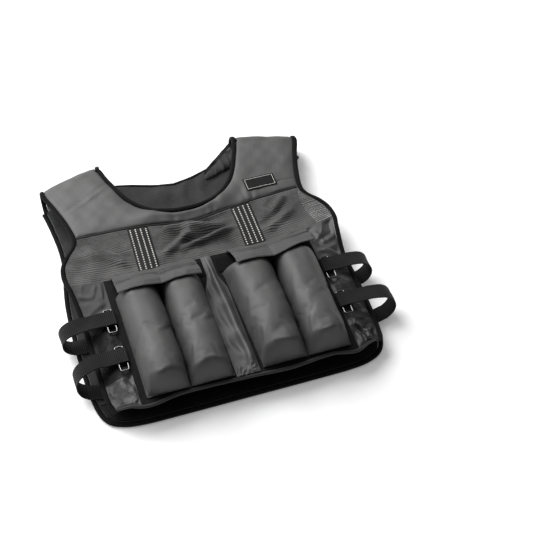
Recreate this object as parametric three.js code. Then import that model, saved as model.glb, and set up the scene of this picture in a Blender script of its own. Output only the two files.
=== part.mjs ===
// A weighted vest that lies on its back: padded back, front of yoke, mesh and nylon, four filled pockets.
// Millimetres. X runs across the vest, Y from the hem to the shoulders and Z up from the floor. The sizes
// count Y from the back hem and X from the middle of the front, and the last lines centre the whole.

import * as THREE from "three";

const { lerp, clamp, smoothstep } = THREE.MathUtils;

// Driving sizes of the whole
const HALF_WIDTH = 215; // half the width across the shoulders
const NECK_HALF = 110; // half the width of the neck at the shoulders
const YOKE_HEIGHT = 141; // from the yoke seam at the sides to the shoulder fold at the neck
const MESH_HEIGHT = 88; // the mesh, from the pocket seam to the yoke seam
const FRONT_RISE = 36; // height of the front's cloth above the floor
const SHOULDER_SLOPE = 0.3; // fall of the shoulder fold for each millimetre outwards
const BACK_SHIFT = -5; // the back lies a little to the left of the front
const NECK_FOOT = 0.135; // lowest point of the neck, in yoke heights above the seam

// Driving sizes of the pockets and flaps
const POCKET_WIDTH = 63;
const POCKET_LENGTH = 183;
const POCKET_HEIGHT = 42;
const POCKET_FOOT = 17; // the lowest pocket seam, counted from the back hem
const POCKET_LIP = 2; // height of a pocket's side wall at its seam
const POCKET_END = 12; // length over which the foot of a pocket rounds up
const POCKET_HEAD = 26; // length over which its head slopes down under the flap
const LOAF = { foot: 2.4, head: 2, sides: 2.6 }; // how squarely a full pocket rounds, 2 is an ellipse
const POCKET_REACH = 2.45; // pocket widths from the middle to the outer side of the outer pockets
const PANEL_MARGIN = 3; // the front panel reaches this far past them
const MOUTH_HEIGHT = 40; // from the pocket heads to the seam under the mesh
const FLAP_LENGTH = 60;
const FLAP_LIFT = 1.4; // air between a flap and the pockets that it lies on
const FLAP_SPREAD = 10; // a flap bridges the valley between two pockets by this much each side

// Driving sizes of the cloth, trim and webbing
const GAP = 0.3; // clearance between pieces that touch
const LAY_GAP = 0.5; // clearance under a piece that lies on a curved one
const YOKE_THICK = 5;
const MESH_THICK = 1.6;
const PANEL_THICK = 2.4;
const BACK_THICK = 6;
const LINING_THICK = 1.4;
const FLAP_THICK = 1.6;
const TRIM_THICK = 1.2; // label, hook patches and reflective tapes
const BINDING_WIDTH = 9;
const BINDING_THICK = 5.4;
const BACK_BINDING_THICK = 7;
const HEM_BINDING = 5; // width of the narrow tape on the front hem
const PIPING = 3; // diameter of the cord in the yoke seam
const YOKE_BEHIND = 8; // flat length of the yoke past the shoulder fold
const HEM_RISE = 8; // how far the front hem lies above the back hem
const WEBBING_WIDTH = 25;
const WEBBING_THICK = 1.8;
const WIRE = 2.4; // diameter of the rings' wire
const RING_HALF_LENGTH = 21;
const RING_HALF_WIDTH = 6;
const RING_DROP = 4; // the rings hang this far below the middle of their straps
const RING_CLEARANCE = 0.4; // air between a ring and the webbing turned round it
const TAPE_WIDTH = 32;
const STRIP_LEFT = -9.5; // sides of the strip between the pockets
const STRIP_RIGHT = 7.5;
const STRIP_RIDGE = 7; // height of the fold along it
const RIDGE = { middle: 0.5, sway: 0.12, width: 0.3 }; // place, sway and width across the strip
const WING_DROP = 13; // how far the sides hang below the middle of the front
const INSET = { low: 0.25, high: 0.9 }; // ends of the black side insets, in pocket lengths
const LABEL = { across: 123, aboveSeam: 34, width: 50, height: 26 };

// Heights above the hem, worked out from the sizes above
const MESH_SEAM = POCKET_FOOT + POCKET_LENGTH + MOUTH_HEIGHT;
const YOKE_SEAM = MESH_SEAM + MESH_HEIGHT;
const FOLD = YOKE_SEAM + YOKE_HEIGHT;
const PANEL_HALF = POCKET_REACH * POCKET_WIDTH + PANEL_MARGIN;
const INSET_LOW = POCKET_FOOT + INSET.low * POCKET_LENGTH;
const INSET_HIGH = POCKET_FOOT + INSET.high * POCKET_LENGTH;
const NECK_LOW = YOKE_SEAM + NECK_FOOT * YOKE_HEIGHT;
const UNDER_YOKE = YOKE_THICK / 2 + 2 * GAP; // height of the yoke's middle where it lies under the shoulder
const FOLD_RADIUS = (FRONT_RISE - UNDER_YOKE) / 2;
const HALF_TURN = Math.PI * FOLD_RADIUS;
const PANEL_TOP = FRONT_RISE + PANEL_THICK / 2;

// Heights in the three zones of the front, from a share of each
const ZONES = {
  body: (share) => share * MESH_SEAM,
  mesh: (share) => MESH_SEAM + share * MESH_HEIGHT,
  yoke: (share) => YOKE_SEAM + share * YOKE_HEIGHT,
};

// Side of the front from hem to shoulder: zone, share of its height, share of HALF_WIDTH
const FRONT_SIDE = [
  { zone: "body", up: 0.03, out: 0.87 },
  { zone: "body", up: 0.08, out: 0.92 },
  { zone: "body", up: 0.17, out: 0.945 },
  { zone: "body", up: 0.5, out: 0.95 },
  { zone: "body", up: 0.8, out: 0.955 },
  { zone: "body", up: 1.0, out: 0.98 },
  { zone: "mesh", up: 0.25, out: 0.998 },
  { zone: "mesh", up: 0.5, out: 0.985 },
  { zone: "mesh", up: 0.7, out: 0.94 },
  { zone: "mesh", up: 0.88, out: 0.885 },
  { zone: "yoke", up: 0.03, out: 0.86 },
  { zone: "yoke", up: 0.2, out: 0.872 },
  { zone: "yoke", up: 0.5, out: 0.92 },
  { zone: "yoke", up: 0.72, out: 0.972 },
  { zone: "yoke", up: 0.8, out: 0.985 },
];

// Outline of the back from a shoulder seam to the middle of its hem, shares of HALF_WIDTH left and right
const BACK_OUTLINE = [
  { zone: "yoke", up: 0.72, left: 0.975, right: 1.01 },
  { zone: "yoke", up: 0.45, left: 0.95, right: 0.93 },
  { zone: "yoke", up: 0.18, left: 0.935, right: 0.88 },
  { zone: "mesh", up: 0.95, left: 0.937, right: 0.872 },
  { zone: "mesh", up: 0.6, left: 0.955, right: 0.9 },
  { zone: "mesh", up: 0.25, left: 0.98, right: 0.95 },
  { zone: "body", up: 0.92, left: 1.0, right: 1.0 },
  { zone: "body", up: 0.65, left: 1.01, right: 1.012 },
  { zone: "body", up: 0.38, left: 1.008, right: 1.01 },
  { zone: "body", up: 0.19, left: 0.99, right: 0.992 },
  { zone: "body", up: 0.08, left: 0.945, right: 0.945 },
  { zone: "body", up: 0.027, left: 0.855, right: 0.855 },
  { zone: "body", up: 0.004, left: 0.71, right: 0.71 },
  { zone: "body", up: 0.0, left: 0.45, right: 0.45 },
  { zone: "body", up: 0.0, left: 0.0, right: 0.0 },
];
const BACK_CORNER = 11; // the row of the outline that is the corner between side and hem
const FACING_ROWS = 2; // the black band inside the hem reaches this many rows up from the corner

// Seam under the yoke: share of HALF_WIDTH, share of YOKE_HEIGHT above the seam at the sides
const YOKE_SEAM_LINE = [
  { across: -0.86, rise: 0.055 },
  { across: -0.47, rise: 0.035 },
  { across: -0.23, rise: 0.0 },
  { across: 0.0, rise: -0.05 },
  { across: 0.23, rise: -0.015 },
  { across: 0.47, rise: 0.025 },
  { across: 0.86, rise: 0.065 },
];

// Seam under the mesh: share of HALF_WIDTH, share of MESH_HEIGHT
const MESH_SEAM_LINE = [
  { across: -1.0, rise: 0.13 },
  { across: -0.7, rise: 0.0 },
  { across: 0.0, rise: 0.0 },
  { across: 0.5, rise: 0.0 },
  { across: 0.7, rise: 0.08 },
  { across: 1.0, rise: 0.26 },
];

// Front hem: share of HALF_WIDTH, share of HEM_RISE
const HEM_LINE = [
  { across: -0.87, rise: 2.1 },
  { across: -0.7, rise: 0.5 },
  { across: -0.47, rise: 1.3 },
  { across: 0.0, rise: 1.0 },
  { across: 0.25, rise: 0.6 },
  { across: 0.55, rise: 1.2 },
  { across: 0.72, rise: 0.5 },
  { across: 0.87, rise: 2.6 },
];

// Edge of the neck from the middle to the fold: share of NECK_HALF, share of the way up from its lowest point
const NECK_LINE = [
  { across: 0.0, up: 0.0 },
  { across: 0.2, up: 0.015 },
  { across: 0.39, up: 0.08 },
  { across: 0.56, up: 0.19 },
  { across: 0.7, up: 0.33 },
  { across: 0.8, up: 0.5 },
  { across: 0.885, up: 0.7 },
  { across: 0.955, up: 0.87 },
  { across: 1.0, up: 1.0 },
];

// Neck of the back, at the inner side of its tape: share of NECK_HALF, share of YOKE_HEIGHT below its ends
const BACK_NECK = [
  { across: 0.0, fall: 0.225 },
  { across: 0.27, fall: 0.185 },
  { across: 0.55, fall: 0.11 },
  { across: 0.8, fall: 0.045 },
  { across: 1.0, fall: 0.0 },
];

// Dents in the mesh: shares of HALF_WIDTH and MESH_HEIGHT for place and size, share of FRONT_RISE for depth
const MESH_DENTS = [
  { across: 0.03, up: 0.27, wide: 0.17, tall: 0.12, deep: 0.1 },
  { across: -0.1, up: 0.62, wide: 0.12, tall: 0.2, deep: -0.06 },
  { across: 0.08, up: 0.86, wide: 0.2, tall: 0.1, deep: 0.08 },
  { across: 0.57, up: 0.45, wide: 0.09, tall: 0.2, deep: 0.08 },
  { across: -0.66, up: 0.4, wide: 0.1, tall: 0.25, deep: 0.06 },
];

// Pockets: left and right sides at the foot and the head, in pocket widths from the middle of the vest
const POCKETS = [
  { name: "pocket_1", footLeft: -2.35, footRight: -1.35, headLeft: -2.35, headRight: -1.35, full: 1.0 },
  { name: "pocket_2", footLeft: -1.34, footRight: -0.36, headLeft: -1.34, headRight: -0.35, full: 0.97 },
  { name: "pocket_3", footLeft: 0.3, footRight: 1.34, headLeft: 0.21, headRight: 1.36, full: 1.0 },
  { name: "pocket_4", footLeft: 1.35, footRight: 2.35, headLeft: 1.37, headRight: 2.43, full: 0.98 },
];

// Flaps: left and right ends in pocket widths, share of FLAP_LENGTH that the right end is raised by
const FLAPS = [
  { name: "flap_left", left: -2.33, right: -0.36, raise: 0.0 },
  { name: "flap_right", left: 0.48, right: 2.44, raise: 0.12 },
];

// Hook patches: sides in pocket widths, ends in shares of MOUTH_HEIGHT above the pocket heads
const HOOK_PATCHES = [
  { name: "hook_patch_left", left: -0.33, right: -0.17, low: 0.1, high: 0.8 },
  { name: "hook_patch_right", left: 0.14, right: 0.46, low: 0.1, high: 0.8 },
];

// Reflective tapes: middle at the top and at the bottom, in shares of HALF_WIDTH
const TAPES = [
  { name: "tape_left", top: -0.39, bottom: -0.405 },
  { name: "tape_right", top: 0.366, bottom: 0.363 },
];

// Straps: side, height of the front and of the back end in shares of POCKET_LENGTH, reach in HALF_WIDTHs
const STRAPS = [
  { name: "left_top", side: -1, front: 0.81, back: 0.72, reach: 1.112 },
  { name: "left_low", side: -1, front: 0.43, back: 0.24, reach: 1.098 },
  { name: "right_top", side: 1, front: 0.81, back: 0.72, reach: 1.07 },
  { name: "right_low", side: 1, front: 0.43, back: 0.29, reach: 1.112 },
];

const MATERIALS = {
  nylon: { color: 0x56575a, roughness: 0.55, metalness: 0 },
  mesh: { color: 0x3c3b3d, roughness: 0.85, metalness: 0 },
  lining: { color: 0x39393b, roughness: 0.8, metalness: 0 },
  black: { color: 0x131315, roughness: 0.9, metalness: 0 },
  binding: { color: 0x242427, roughness: 0.8, metalness: 0 },
  webbing: { color: 0x2c2c2e, roughness: 0.75, metalness: 0 },
  steel: { color: 0xc8cacc, roughness: 0.2, metalness: 1 },
};

const vest = new THREE.Group();
vest.name = "weighted_vest";

function add(name, material, geometry) {
  const mesh = new THREE.Mesh(geometry, new THREE.MeshStandardMaterial(MATERIALS[material]));
  mesh.name = name;
  vest.add(mesh);
}

// Helpers for curves and walls

/** A smooth function through a table's rows, which are sorted by the column named key. */
function through(rows, key, value) {
  const slopes = rows.map((row, i) => {
    const before = rows[Math.max(i - 1, 0)];
    const after = rows[Math.min(i + 1, rows.length - 1)];
    return (after[value] - before[value]) / (after[key] - before[key]);
  });
  return (at) => {
    let i = 0;
    while (i < rows.length - 2 && at > rows[i + 1][key]) i += 1;
    const span = rows[i + 1][key] - rows[i][key];
    const t = clamp((at - rows[i][key]) / span, 0, 1);
    const rest = 1 - t;
    const fromLow = rest * rest * ((1 + 2 * t) * rows[i][value] + t * span * slopes[i]);
    const fromHigh = t * t * ((3 - 2 * t) * rows[i + 1][value] - rest * span * slopes[i + 1]);
    return fromLow + fromHigh;
  };
}

/** The closed body between two surfaces over one grid, each given as a point for (u, v) from 0 to 1. */
function closedGrid(columns, rows, top, bottom) {
  const positions = [];
  for (const surface of [top, bottom]) {
    for (let i = 0; i <= columns; i += 1) {
      for (let j = 0; j <= rows; j += 1) {
        positions.push(...surface(i / columns, j / rows).toArray());
      }
    }
  }
  const at = (side, i, j) => (side * (columns + 1) + i) * (rows + 1) + j;
  const index = [];
  const quad = (a, b, c, d) => index.push(a, b, c, a, c, d);
  for (let i = 0; i < columns; i += 1) {
    for (let j = 0; j < rows; j += 1) {
      quad(at(0, i, j), at(0, i + 1, j), at(0, i + 1, j + 1), at(0, i, j + 1));
      quad(at(1, i, j), at(1, i, j + 1), at(1, i + 1, j + 1), at(1, i + 1, j));
    }
    quad(at(1, i, 0), at(1, i + 1, 0), at(0, i + 1, 0), at(0, i, 0));
    quad(at(0, i, rows), at(0, i + 1, rows), at(1, i + 1, rows), at(1, i, rows));
  }
  for (let j = 0; j < rows; j += 1) {
    quad(at(0, 0, j), at(0, 0, j + 1), at(1, 0, j + 1), at(1, 0, j));
    quad(at(1, columns, j), at(1, columns, j + 1), at(0, columns, j + 1), at(0, columns, j));
  }
  const geometry = new THREE.BufferGeometry();
  geometry.setAttribute("position", new THREE.Float32BufferAttribute(positions, 3));
  geometry.setIndex(index);
  return geometry;
}

/** A sheet of even thickness round a middle surface. */
function wall(columns, rows, middle, thickness) {
  const step = 1e-3;
  const offset = (u, v, distance) => {
    const alongU = middle(Math.min(u + step, 1), v).sub(middle(Math.max(u - step, 0), v));
    const alongV = middle(u, Math.min(v + step, 1)).sub(middle(u, Math.max(v - step, 0)));
    return middle(u, v).addScaledVector(alongU.cross(alongV).normalize(), distance);
  };
  const top = (u, v) => offset(u, v, thickness / 2);
  const bottom = (u, v) => offset(u, v, -thickness / 2);
  return closedGrid(columns, rows, top, bottom);
}

// The lines of the pattern

const heighted = (rows) => rows.map((row) => ({ ...row, y: ZONES[row.zone](row.up) }));
const frontSide = through(heighted(FRONT_SIDE), "y", "out");
const frontEdge = (y) => HALF_WIDTH * frontSide(y);
const yokeSeamRise = through(YOKE_SEAM_LINE, "across", "rise");
const yokeSeam = (x) => YOKE_SEAM + YOKE_HEIGHT * yokeSeamRise(x / HALF_WIDTH);
const meshSeamRise = through(MESH_SEAM_LINE, "across", "rise");
const meshSeam = (x) => MESH_SEAM + MESH_HEIGHT * meshSeamRise(x / HALF_WIDTH);
const hemRise = through(HEM_LINE, "across", "rise");
const frontHem = (x) => HEM_RISE * hemRise(x / HALF_WIDTH);
const shoulderFold = (x) => FOLD - SHOULDER_SLOPE * (Math.abs(x) - NECK_HALF);
const seamBehind = (x) => shoulderFold(x) - YOKE_BEHIND - GAP;
const panelFoot = (x) => frontHem(x) + HEM_BINDING + GAP;
const BESIDE_BINDING = BINDING_WIDTH + GAP; // where the cloth starts, inwards from an outer edge
const hemInside = (side) => frontEdge(panelFoot(side * HALF_WIDTH)) - BESIDE_BINDING;
const MESH_LOW_INSIDE = frontEdge(MESH_SEAM) - BESIDE_BINDING;
const YOKE_LOW_INSIDE = frontEdge(YOKE_SEAM + YOKE_SEAM_LINE.at(-1).rise * YOKE_HEIGHT) - BESIDE_BINDING;
const SEAM_ROOM = PIPING / 2 + GAP; // from the yoke seam to the cloth above and below its cord
const FOLD_OUTSIDE = shoulderFold(HALF_WIDTH);

// Rows of the pieces beside the side tapes, which keep the same heights along their shared edge
const ROWS = { wingLower: 2, sideInset: 3, wingUpper: 4, mesh: 6 };
const yokeFoot = (side) => yokeSeam(side * YOKE_LOW_INSIDE) + SEAM_ROOM;
const SIDE_ZONES = {
  wingLower: { low: panelFoot, high: () => INSET_LOW - GAP },
  sideInset: { low: () => INSET_LOW, high: () => INSET_HIGH },
  wingUpper: { low: () => INSET_HIGH + GAP, high: (x) => meshSeam(x) - GAP },
  mesh: { low: (x) => meshSeam(x) + GAP, high: (x) => yokeSeam(x) - SEAM_ROOM },
};

/** Height of a row of a side zone where it meets the side tape. */
function sideHeight(zone, side, v) {
  const lowX = zone === "wingLower" ? hemInside(side) : MESH_LOW_INSIDE;
  const highX = zone === "mesh" ? YOKE_LOW_INSIDE : MESH_LOW_INSIDE;
  return lerp(SIDE_ZONES[zone].low(side * lowX), SIDE_ZONES[zone].high(side * highX), v);
}

/** A point of the front beside its outer edge: at the fold, the lines across the shoulder follow it. */
function besideEdge(y, inset) {
  const x = frontEdge(y) - inset;
  const nearFold = smoothstep(y, FOLD_OUTSIDE - 0.3 * YOKE_HEIGHT, FOLD_OUTSIDE);
  return new THREE.Vector2(x, y + nearFold * (shoulderFold(x) - FOLD_OUTSIDE));
}

/** Height of the middle of the front's cloth. */
function frontHeight(x, y) {
  let height = FRONT_RISE;
  for (const dent of MESH_DENTS) {
    const across = (x - dent.across * HALF_WIDTH) / (dent.wide * HALF_WIDTH);
    const up = (y - ZONES.mesh(dent.up)) / (dent.tall * MESH_HEIGHT);
    const inMesh = smoothstep(y, meshSeam(x), meshSeam(x) + 0.15 * MESH_HEIGHT)
      * (1 - smoothstep(y, yokeSeam(x) - 0.1 * MESH_HEIGHT, yokeSeam(x)));
    height -= dent.deep * FRONT_RISE * inMesh * Math.exp(-across * across - up * up);
  }
  const outwards = smoothstep(Math.abs(x), PANEL_HALF + RING_HALF_WIDTH * 2, frontEdge(y));
  const below = 1 - smoothstep(y, INSET_HIGH, MESH_SEAM + 0.3 * MESH_HEIGHT);
  return height - WING_DROP * outwards * below;
}

/** A point in the cloth of the front, which turns over at the shoulder fold and runs on under it. */
function onVest(x, along) {
  const past = along - shoulderFold(x);
  if (past <= 0) return new THREE.Vector3(x, along, frontHeight(x, along));
  const middle = FRONT_RISE - FOLD_RADIUS;
  if (past >= HALF_TURN) {
    return new THREE.Vector3(x, shoulderFold(x) - (past - HALF_TURN), middle - FOLD_RADIUS);
  }
  const angle = past / FOLD_RADIUS;
  const out = FOLD_RADIUS * Math.sin(angle);
  return new THREE.Vector3(x, shoulderFold(x) + out, middle + FOLD_RADIUS * Math.cos(angle));
}

// Back

const backRows = BACK_OUTLINE.map((row) => ({ ...row, y: ZONES[row.zone](row.up) }));
const outlinePoint = (word, sign) => (row) => {
  const x = BACK_SHIFT + sign * row[word] * HALF_WIDTH;
  return new THREE.Vector2(x, row === backRows[0] ? seamBehind(x) : row.y);
};
const leftPoints = backRows.map(outlinePoint("left", -1));
const rightPoints = backRows.slice(0, -1).map(outlinePoint("right", 1));
const backCurve = new THREE.SplineCurve([...leftPoints, ...rightPoints.reverse()]);
const CORNER_SHARE = BACK_CORNER / (leftPoints.length + rightPoints.length - 1);
const HEM_COLUMNS = 20;
const AT_SEAM = 40; // power that keeps a change close to the end of the outline
const SHOULDER_COLUMNS = 0.25; // share of the back's columns in each shoulder seam

/** The back's edge, from the left shoulder seam round the hem to the right one, moved inwards. */
function backEdge(share, inset) {
  const tangent = backCurve.getTangent(share);
  const point = backCurve.getPoint(share);
  point.x -= tangent.y * inset;
  point.y += tangent.x * inset;
  const nearSeam = Math.abs(2 * share - 1) ** AT_SEAM;
  point.y += nearSeam * (seamBehind(point.x) - point.y);
  return point;
}

const backNeckFall = through(BACK_NECK, "across", "fall");

/** The back's neck at the inner side of its tape: share from the left end to the right. */
function backNeckPoint(share, outwards) {
  const along = 2 * share - 1;
  const x = along * (NECK_HALF + BINDING_WIDTH / 2);
  const lean = (along * along * Math.PI) / 2;
  const y = seamBehind(NECK_HALF + BINDING_WIDTH / 2) - YOKE_HEIGHT * backNeckFall(Math.abs(along));
  return new THREE.Vector2(
    x - Math.sign(along) * Math.sin(lean) * outwards,
    y + Math.cos(lean) * outwards,
  );
}

/** The back's upper edge from left to right: shoulder seam, neck and shoulder seam. */
function backTop(u, inset) {
  const left = backEdge(0, inset);
  const right = backEdge(1, inset);
  const neckEnd = backNeckPoint(1, 0);
  if (u < SHOULDER_COLUMNS) {
    const x = lerp(left.x, -neckEnd.x, u / SHOULDER_COLUMNS);
    return new THREE.Vector2(x, seamBehind(x));
  }
  if (u > 1 - SHOULDER_COLUMNS) {
    const x = lerp(neckEnd.x, right.x, (u - 1 + SHOULDER_COLUMNS) / SHOULDER_COLUMNS);
    return new THREE.Vector2(x, seamBehind(x));
  }
  const point = backNeckPoint((u - SHOULDER_COLUMNS) / (1 - 2 * SHOULDER_COLUMNS), 0);
  point.y -= 2 * GAP;
  return point;
}

/** A point in a region from its four edges. */
function insideEdges(u, v, edges) {
  const point = edges.foot(u).multiplyScalar(1 - v).addScaledVector(edges.head(u), v);
  point.addScaledVector(edges.left(v), 1 - u).addScaledVector(edges.right(v), u);
  point.addScaledVector(edges.foot(0), -(1 - u) * (1 - v)).addScaledVector(edges.foot(1), -u * (1 - v));
  return point.addScaledVector(edges.head(0), -(1 - u) * v).addScaledVector(edges.head(1), -u * v);
}

/** A flat piece of the back between two heights above the floor, over a plan given as a 2-D point. */
function levelGrid(columns, rows, plan, low, high) {
  const at = (z) => (u, v) => {
    const point = plan(u, v);
    return new THREE.Vector3(point.x, point.y, z);
  };
  return closedGrid(columns, rows, at(high), at(low));
}

function makeBack() {
  const atHead = (drop, v) => new THREE.Vector2(0, drop * v ** 9); // felt only in the last row
  const region = (inset, drop) => ({
    foot: (u) => backEdge(lerp(CORNER_SHARE, 1 - CORNER_SHARE, u), inset),
    head: (u) => backTop(u, inset).sub(new THREE.Vector2(0, drop)),
    left: (v) => backEdge(CORNER_SHARE * (1 - v), inset).sub(atHead(drop, v)),
    right: (v) => backEdge(1 - CORNER_SHARE * (1 - v), inset).sub(atHead(drop, v)),
  });
  const body = region(BESIDE_BINDING, 0);
  const panel = (u, v) => insideEdges(u, v, body);
  add("back_panel", "nylon", levelGrid(HEM_COLUMNS, BACK_CORNER, panel, 0, BACK_THICK));

  const inner = region(BESIDE_BINDING + GAP, 2 * GAP);
  const liningLow = BACK_THICK + GAP;
  const liningHigh = liningLow + LINING_THICK;
  const facingShare = FACING_ROWS / BACK_CORNER;
  const facing = (u, v) => insideEdges(u, v * facingShare, inner);
  const lining = (u, v) => {
    const point = insideEdges(u, lerp(facingShare, 1, v), inner);
    point.y += v === 0 ? GAP : 0;
    return point;
  };
  add("back_facing", "black", levelGrid(HEM_COLUMNS, FACING_ROWS, facing, liningLow, liningHigh));
  add("back_lining", "lining", levelGrid(HEM_COLUMNS, BACK_CORNER - FACING_ROWS, lining, liningLow, liningHigh));
}

function makeBackBindings() {
  const columns = 2 * BACK_CORNER + HEM_COLUMNS;
  const edge = (u, v) => {
    const station = u * columns;
    const onHem = clamp((station - BACK_CORNER) / HEM_COLUMNS, 0, 1);
    const before = Math.min(station, BACK_CORNER) / BACK_CORNER;
    const after = Math.max(station - BACK_CORNER - HEM_COLUMNS, 0) / BACK_CORNER;
    const share = CORNER_SHARE * (before + after) + (1 - 2 * CORNER_SHARE) * onHem;
    return backEdge(share, v * BINDING_WIDTH);
  };
  add("back_binding", "binding", levelGrid(columns, 1, edge, 0, BACK_BINDING_THICK));
  const neck = (u, v) => backNeckPoint(u, v * BINDING_WIDTH);
  add("back_neck_binding", "binding", levelGrid(16, 1, neck, 0, BACK_BINDING_THICK));
}

// Yoke, its seam and its bindings. Stations run from one shoulder end over the front to the other.

const STATIONS = { seam: 8, armhole: 5, turn: 6, behind: 1 };
const HALF_STATIONS = STATIONS.seam + STATIONS.armhole + STATIONS.turn + STATIONS.behind;
const SEAM_SHARE = STATIONS.seam / HALF_STATIONS;
const FRONT_SHARE = (STATIONS.seam + STATIONS.armhole) / HALF_STATIONS;
const TURN_SHARE = STATIONS.turn / HALF_STATIONS;
const NECK_NARROWS = 4; // the neck narrows by this much behind the fold

/** How far a station lies past the shoulder fold. */
function pastFold(share) {
  const turned = (share - FRONT_SHARE) / TURN_SHARE;
  if (turned <= 1) return turned * HALF_TURN;
  return HALF_TURN + YOKE_BEHIND * (share - FRONT_SHARE - TURN_SHARE) * HALF_STATIONS / STATIONS.behind;
}

const neckPoints = NECK_LINE.map(
  (row) => new THREE.Vector2(row.across * NECK_HALF, lerp(NECK_LOW, FOLD, row.up)),
);
const mirrored = neckPoints.slice(1).map((point) => new THREE.Vector2(-point.x, point.y));
const neckCurve = new THREE.SplineCurve([...mirrored.reverse(), ...neckPoints]);

/** The edge of the neck on the right half: share from the middle of the front to the end behind the fold. */
function neckEdge(share) {
  if (share <= FRONT_SHARE) {
    return neckCurve.getPoint(0.5 + (0.5 * share) / FRONT_SHARE);
  }
  const x = NECK_HALF - NECK_NARROWS * (share - FRONT_SHARE) / (1 - FRONT_SHARE);
  return new THREE.Vector2(x, shoulderFold(x) + pastFold(share));
}

/** The edge of the neck moved into the cloth by a distance. */
function neckInset(share, distance) {
  if (share > FRONT_SHARE) {
    const x = neckEdge(share).x + distance;
    return new THREE.Vector2(x, shoulderFold(x) + pastFold(share));
  }
  const t = 0.5 + (0.5 * share) / FRONT_SHARE;
  const tangent = neckCurve.getTangent(t);
  const point = neckCurve.getPoint(t);
  const x = point.x + tangent.y * distance;
  const y = point.y - tangent.x * distance;
  const nearFold = smoothstep(share, SEAM_SHARE, FRONT_SHARE);
  return new THREE.Vector2(x, lerp(y, shoulderFold(x), nearFold ** 6));
}

/** The outer edge of one half of the yoke: along the seam, up the armhole and over the shoulder. */
function yokeOuter(share, side) {
  if (share <= SEAM_SHARE) {
    const x = lerp(0, YOKE_LOW_INSIDE, share / SEAM_SHARE);
    return new THREE.Vector2(x, yokeSeam(side * x) + SEAM_ROOM);
  }
  if (share <= FRONT_SHARE) {
    const climbed = (share - SEAM_SHARE) / (FRONT_SHARE - SEAM_SHARE);
    return besideEdge(lerp(yokeFoot(side), FOLD_OUTSIDE, climbed), BESIDE_BINDING + GAP / 2);
  }
  const x = frontEdge(FOLD_OUTSIDE) - BESIDE_BINDING - GAP / 2;
  return new THREE.Vector2(x, shoulderFold(x) + pastFold(share));
}

function yokePoint(u, v) {
  const side = u < 0.5 ? -1 : 1;
  const share = Math.abs(2 * u - 1);
  const outer = yokeOuter(share, side);
  const inner = neckInset(share, BESIDE_BINDING + GAP / 2);
  const x = lerp(outer.x, inner.x, v);
  const past = lerp(outer.y - shoulderFold(outer.x), inner.y - shoulderFold(inner.x), v);
  return onVest(side * x, shoulderFold(x) + past);
}

function makeYoke() {
  add("front_yoke", "nylon", wall(2 * HALF_STATIONS, 4, yokePoint, YOKE_THICK));

  const neck = (u, v) => {
    const side = u < 0.5 ? -1 : 1;
    const point = neckInset(Math.abs(2 * u - 1), (1 - v) * BINDING_WIDTH);
    return onVest(side * point.x, point.y);
  };
  add("neck_binding", "binding", wall(2 * HALF_STATIONS, 1, neck, BINDING_THICK));

  class SeamPath extends THREE.Curve {
    getPoint(t) {
      const x = lerp(-YOKE_LOW_INSIDE, YOKE_LOW_INSIDE, t);
      return new THREE.Vector3(x, yokeSeam(x), FRONT_RISE);
    }
  }
  const section = new THREE.Shape();
  section.absarc(0, 0, PIPING / 2 - GAP, 0, 2 * Math.PI);
  const cord = { steps: 16, curveSegments: 3, bevelEnabled: false, extrudePath: new SeamPath() };
  add("yoke_piping", "black", new THREE.ExtrudeGeometry(section, cord));

  const labelMiddle = (u, v) => {
    const x = LABEL.across + (u - 0.5) * LABEL.width;
    const y = YOKE_SEAM + LABEL.aboveSeam + (v - 0.5) * LABEL.height;
    return new THREE.Vector3(x, y, FRONT_RISE + YOKE_THICK / 2 + LAY_GAP + TRIM_THICK / 2);
  };
  add("label_patch", "black", wall(4, 2, labelMiddle, TRIM_THICK));
}

/** Heights of the side tape's stations on the front, those of the pieces beside it. */
function sideStations(side) {
  const heights = [frontHem(side * HALF_WIDTH)];
  for (const [zone, rows] of Object.entries(ROWS)) {
    for (let row = 0; row <= rows; row += 1) heights.push(sideHeight(zone, side, row / rows));
  }
  for (let row = 0; row <= STATIONS.armhole; row += 1) {
    heights.push(lerp(yokeFoot(side), FOLD_OUTSIDE, row / STATIONS.armhole));
  }
  return heights;
}

function makeEdgeBindings() {
  for (const [name, side] of [["edge_binding_left", -1], ["edge_binding_right", 1]]) {
    const heights = sideStations(side);
    const frontStations = heights.length - 1;
    const stations = frontStations + STATIONS.turn + STATIONS.behind;
    const middle = (u, v) => {
      const station = u * stations;
      const inset = BINDING_WIDTH * (side > 0 ? v : 1 - v);
      if (station <= frontStations) {
        const i = Math.min(Math.floor(station), frontStations - 1);
        const point = besideEdge(lerp(heights[i], heights[i + 1], station - i), inset);
        return onVest(side * point.x, point.y);
      }
      const x = frontEdge(FOLD_OUTSIDE) - inset;
      const past = pastFold(FRONT_SHARE + (station - frontStations) / HALF_STATIONS);
      return onVest(side * x, shoulderFold(x) + past);
    };
    add(name, "binding", wall(stations, 1, middle, BINDING_THICK));
  }
}

// Chest: mesh and reflective tapes

function makeMesh() {
  const middle = (u, v) => {
    const across = 2 * u - 1;
    const { low, high } = SIDE_ZONES.mesh;
    const y = lerp(low(across * MESH_LOW_INSIDE), high(across * YOKE_LOW_INSIDE), v);
    return onVest(across * (frontEdge(y) - BESIDE_BINDING), y);
  };
  add("front_mesh", "mesh", wall(26, ROWS.mesh, middle, MESH_THICK));

  for (const tape of TAPES) {
    const tapeMiddle = (u, v) => {
      const x = lerp(tape.bottom, tape.top, v) * HALF_WIDTH + (u - 0.5) * TAPE_WIDTH;
      const y = lerp(meshSeam(x) + 2 * GAP, yokeSeam(x) - PIPING, v);
      const point = onVest(x, y);
      point.z += MESH_THICK / 2 + LAY_GAP + TRIM_THICK / 2;
      return point;
    };
    add(tape.name, "webbing", wall(3, 8, tapeMiddle, TRIM_THICK));
  }
}

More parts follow.
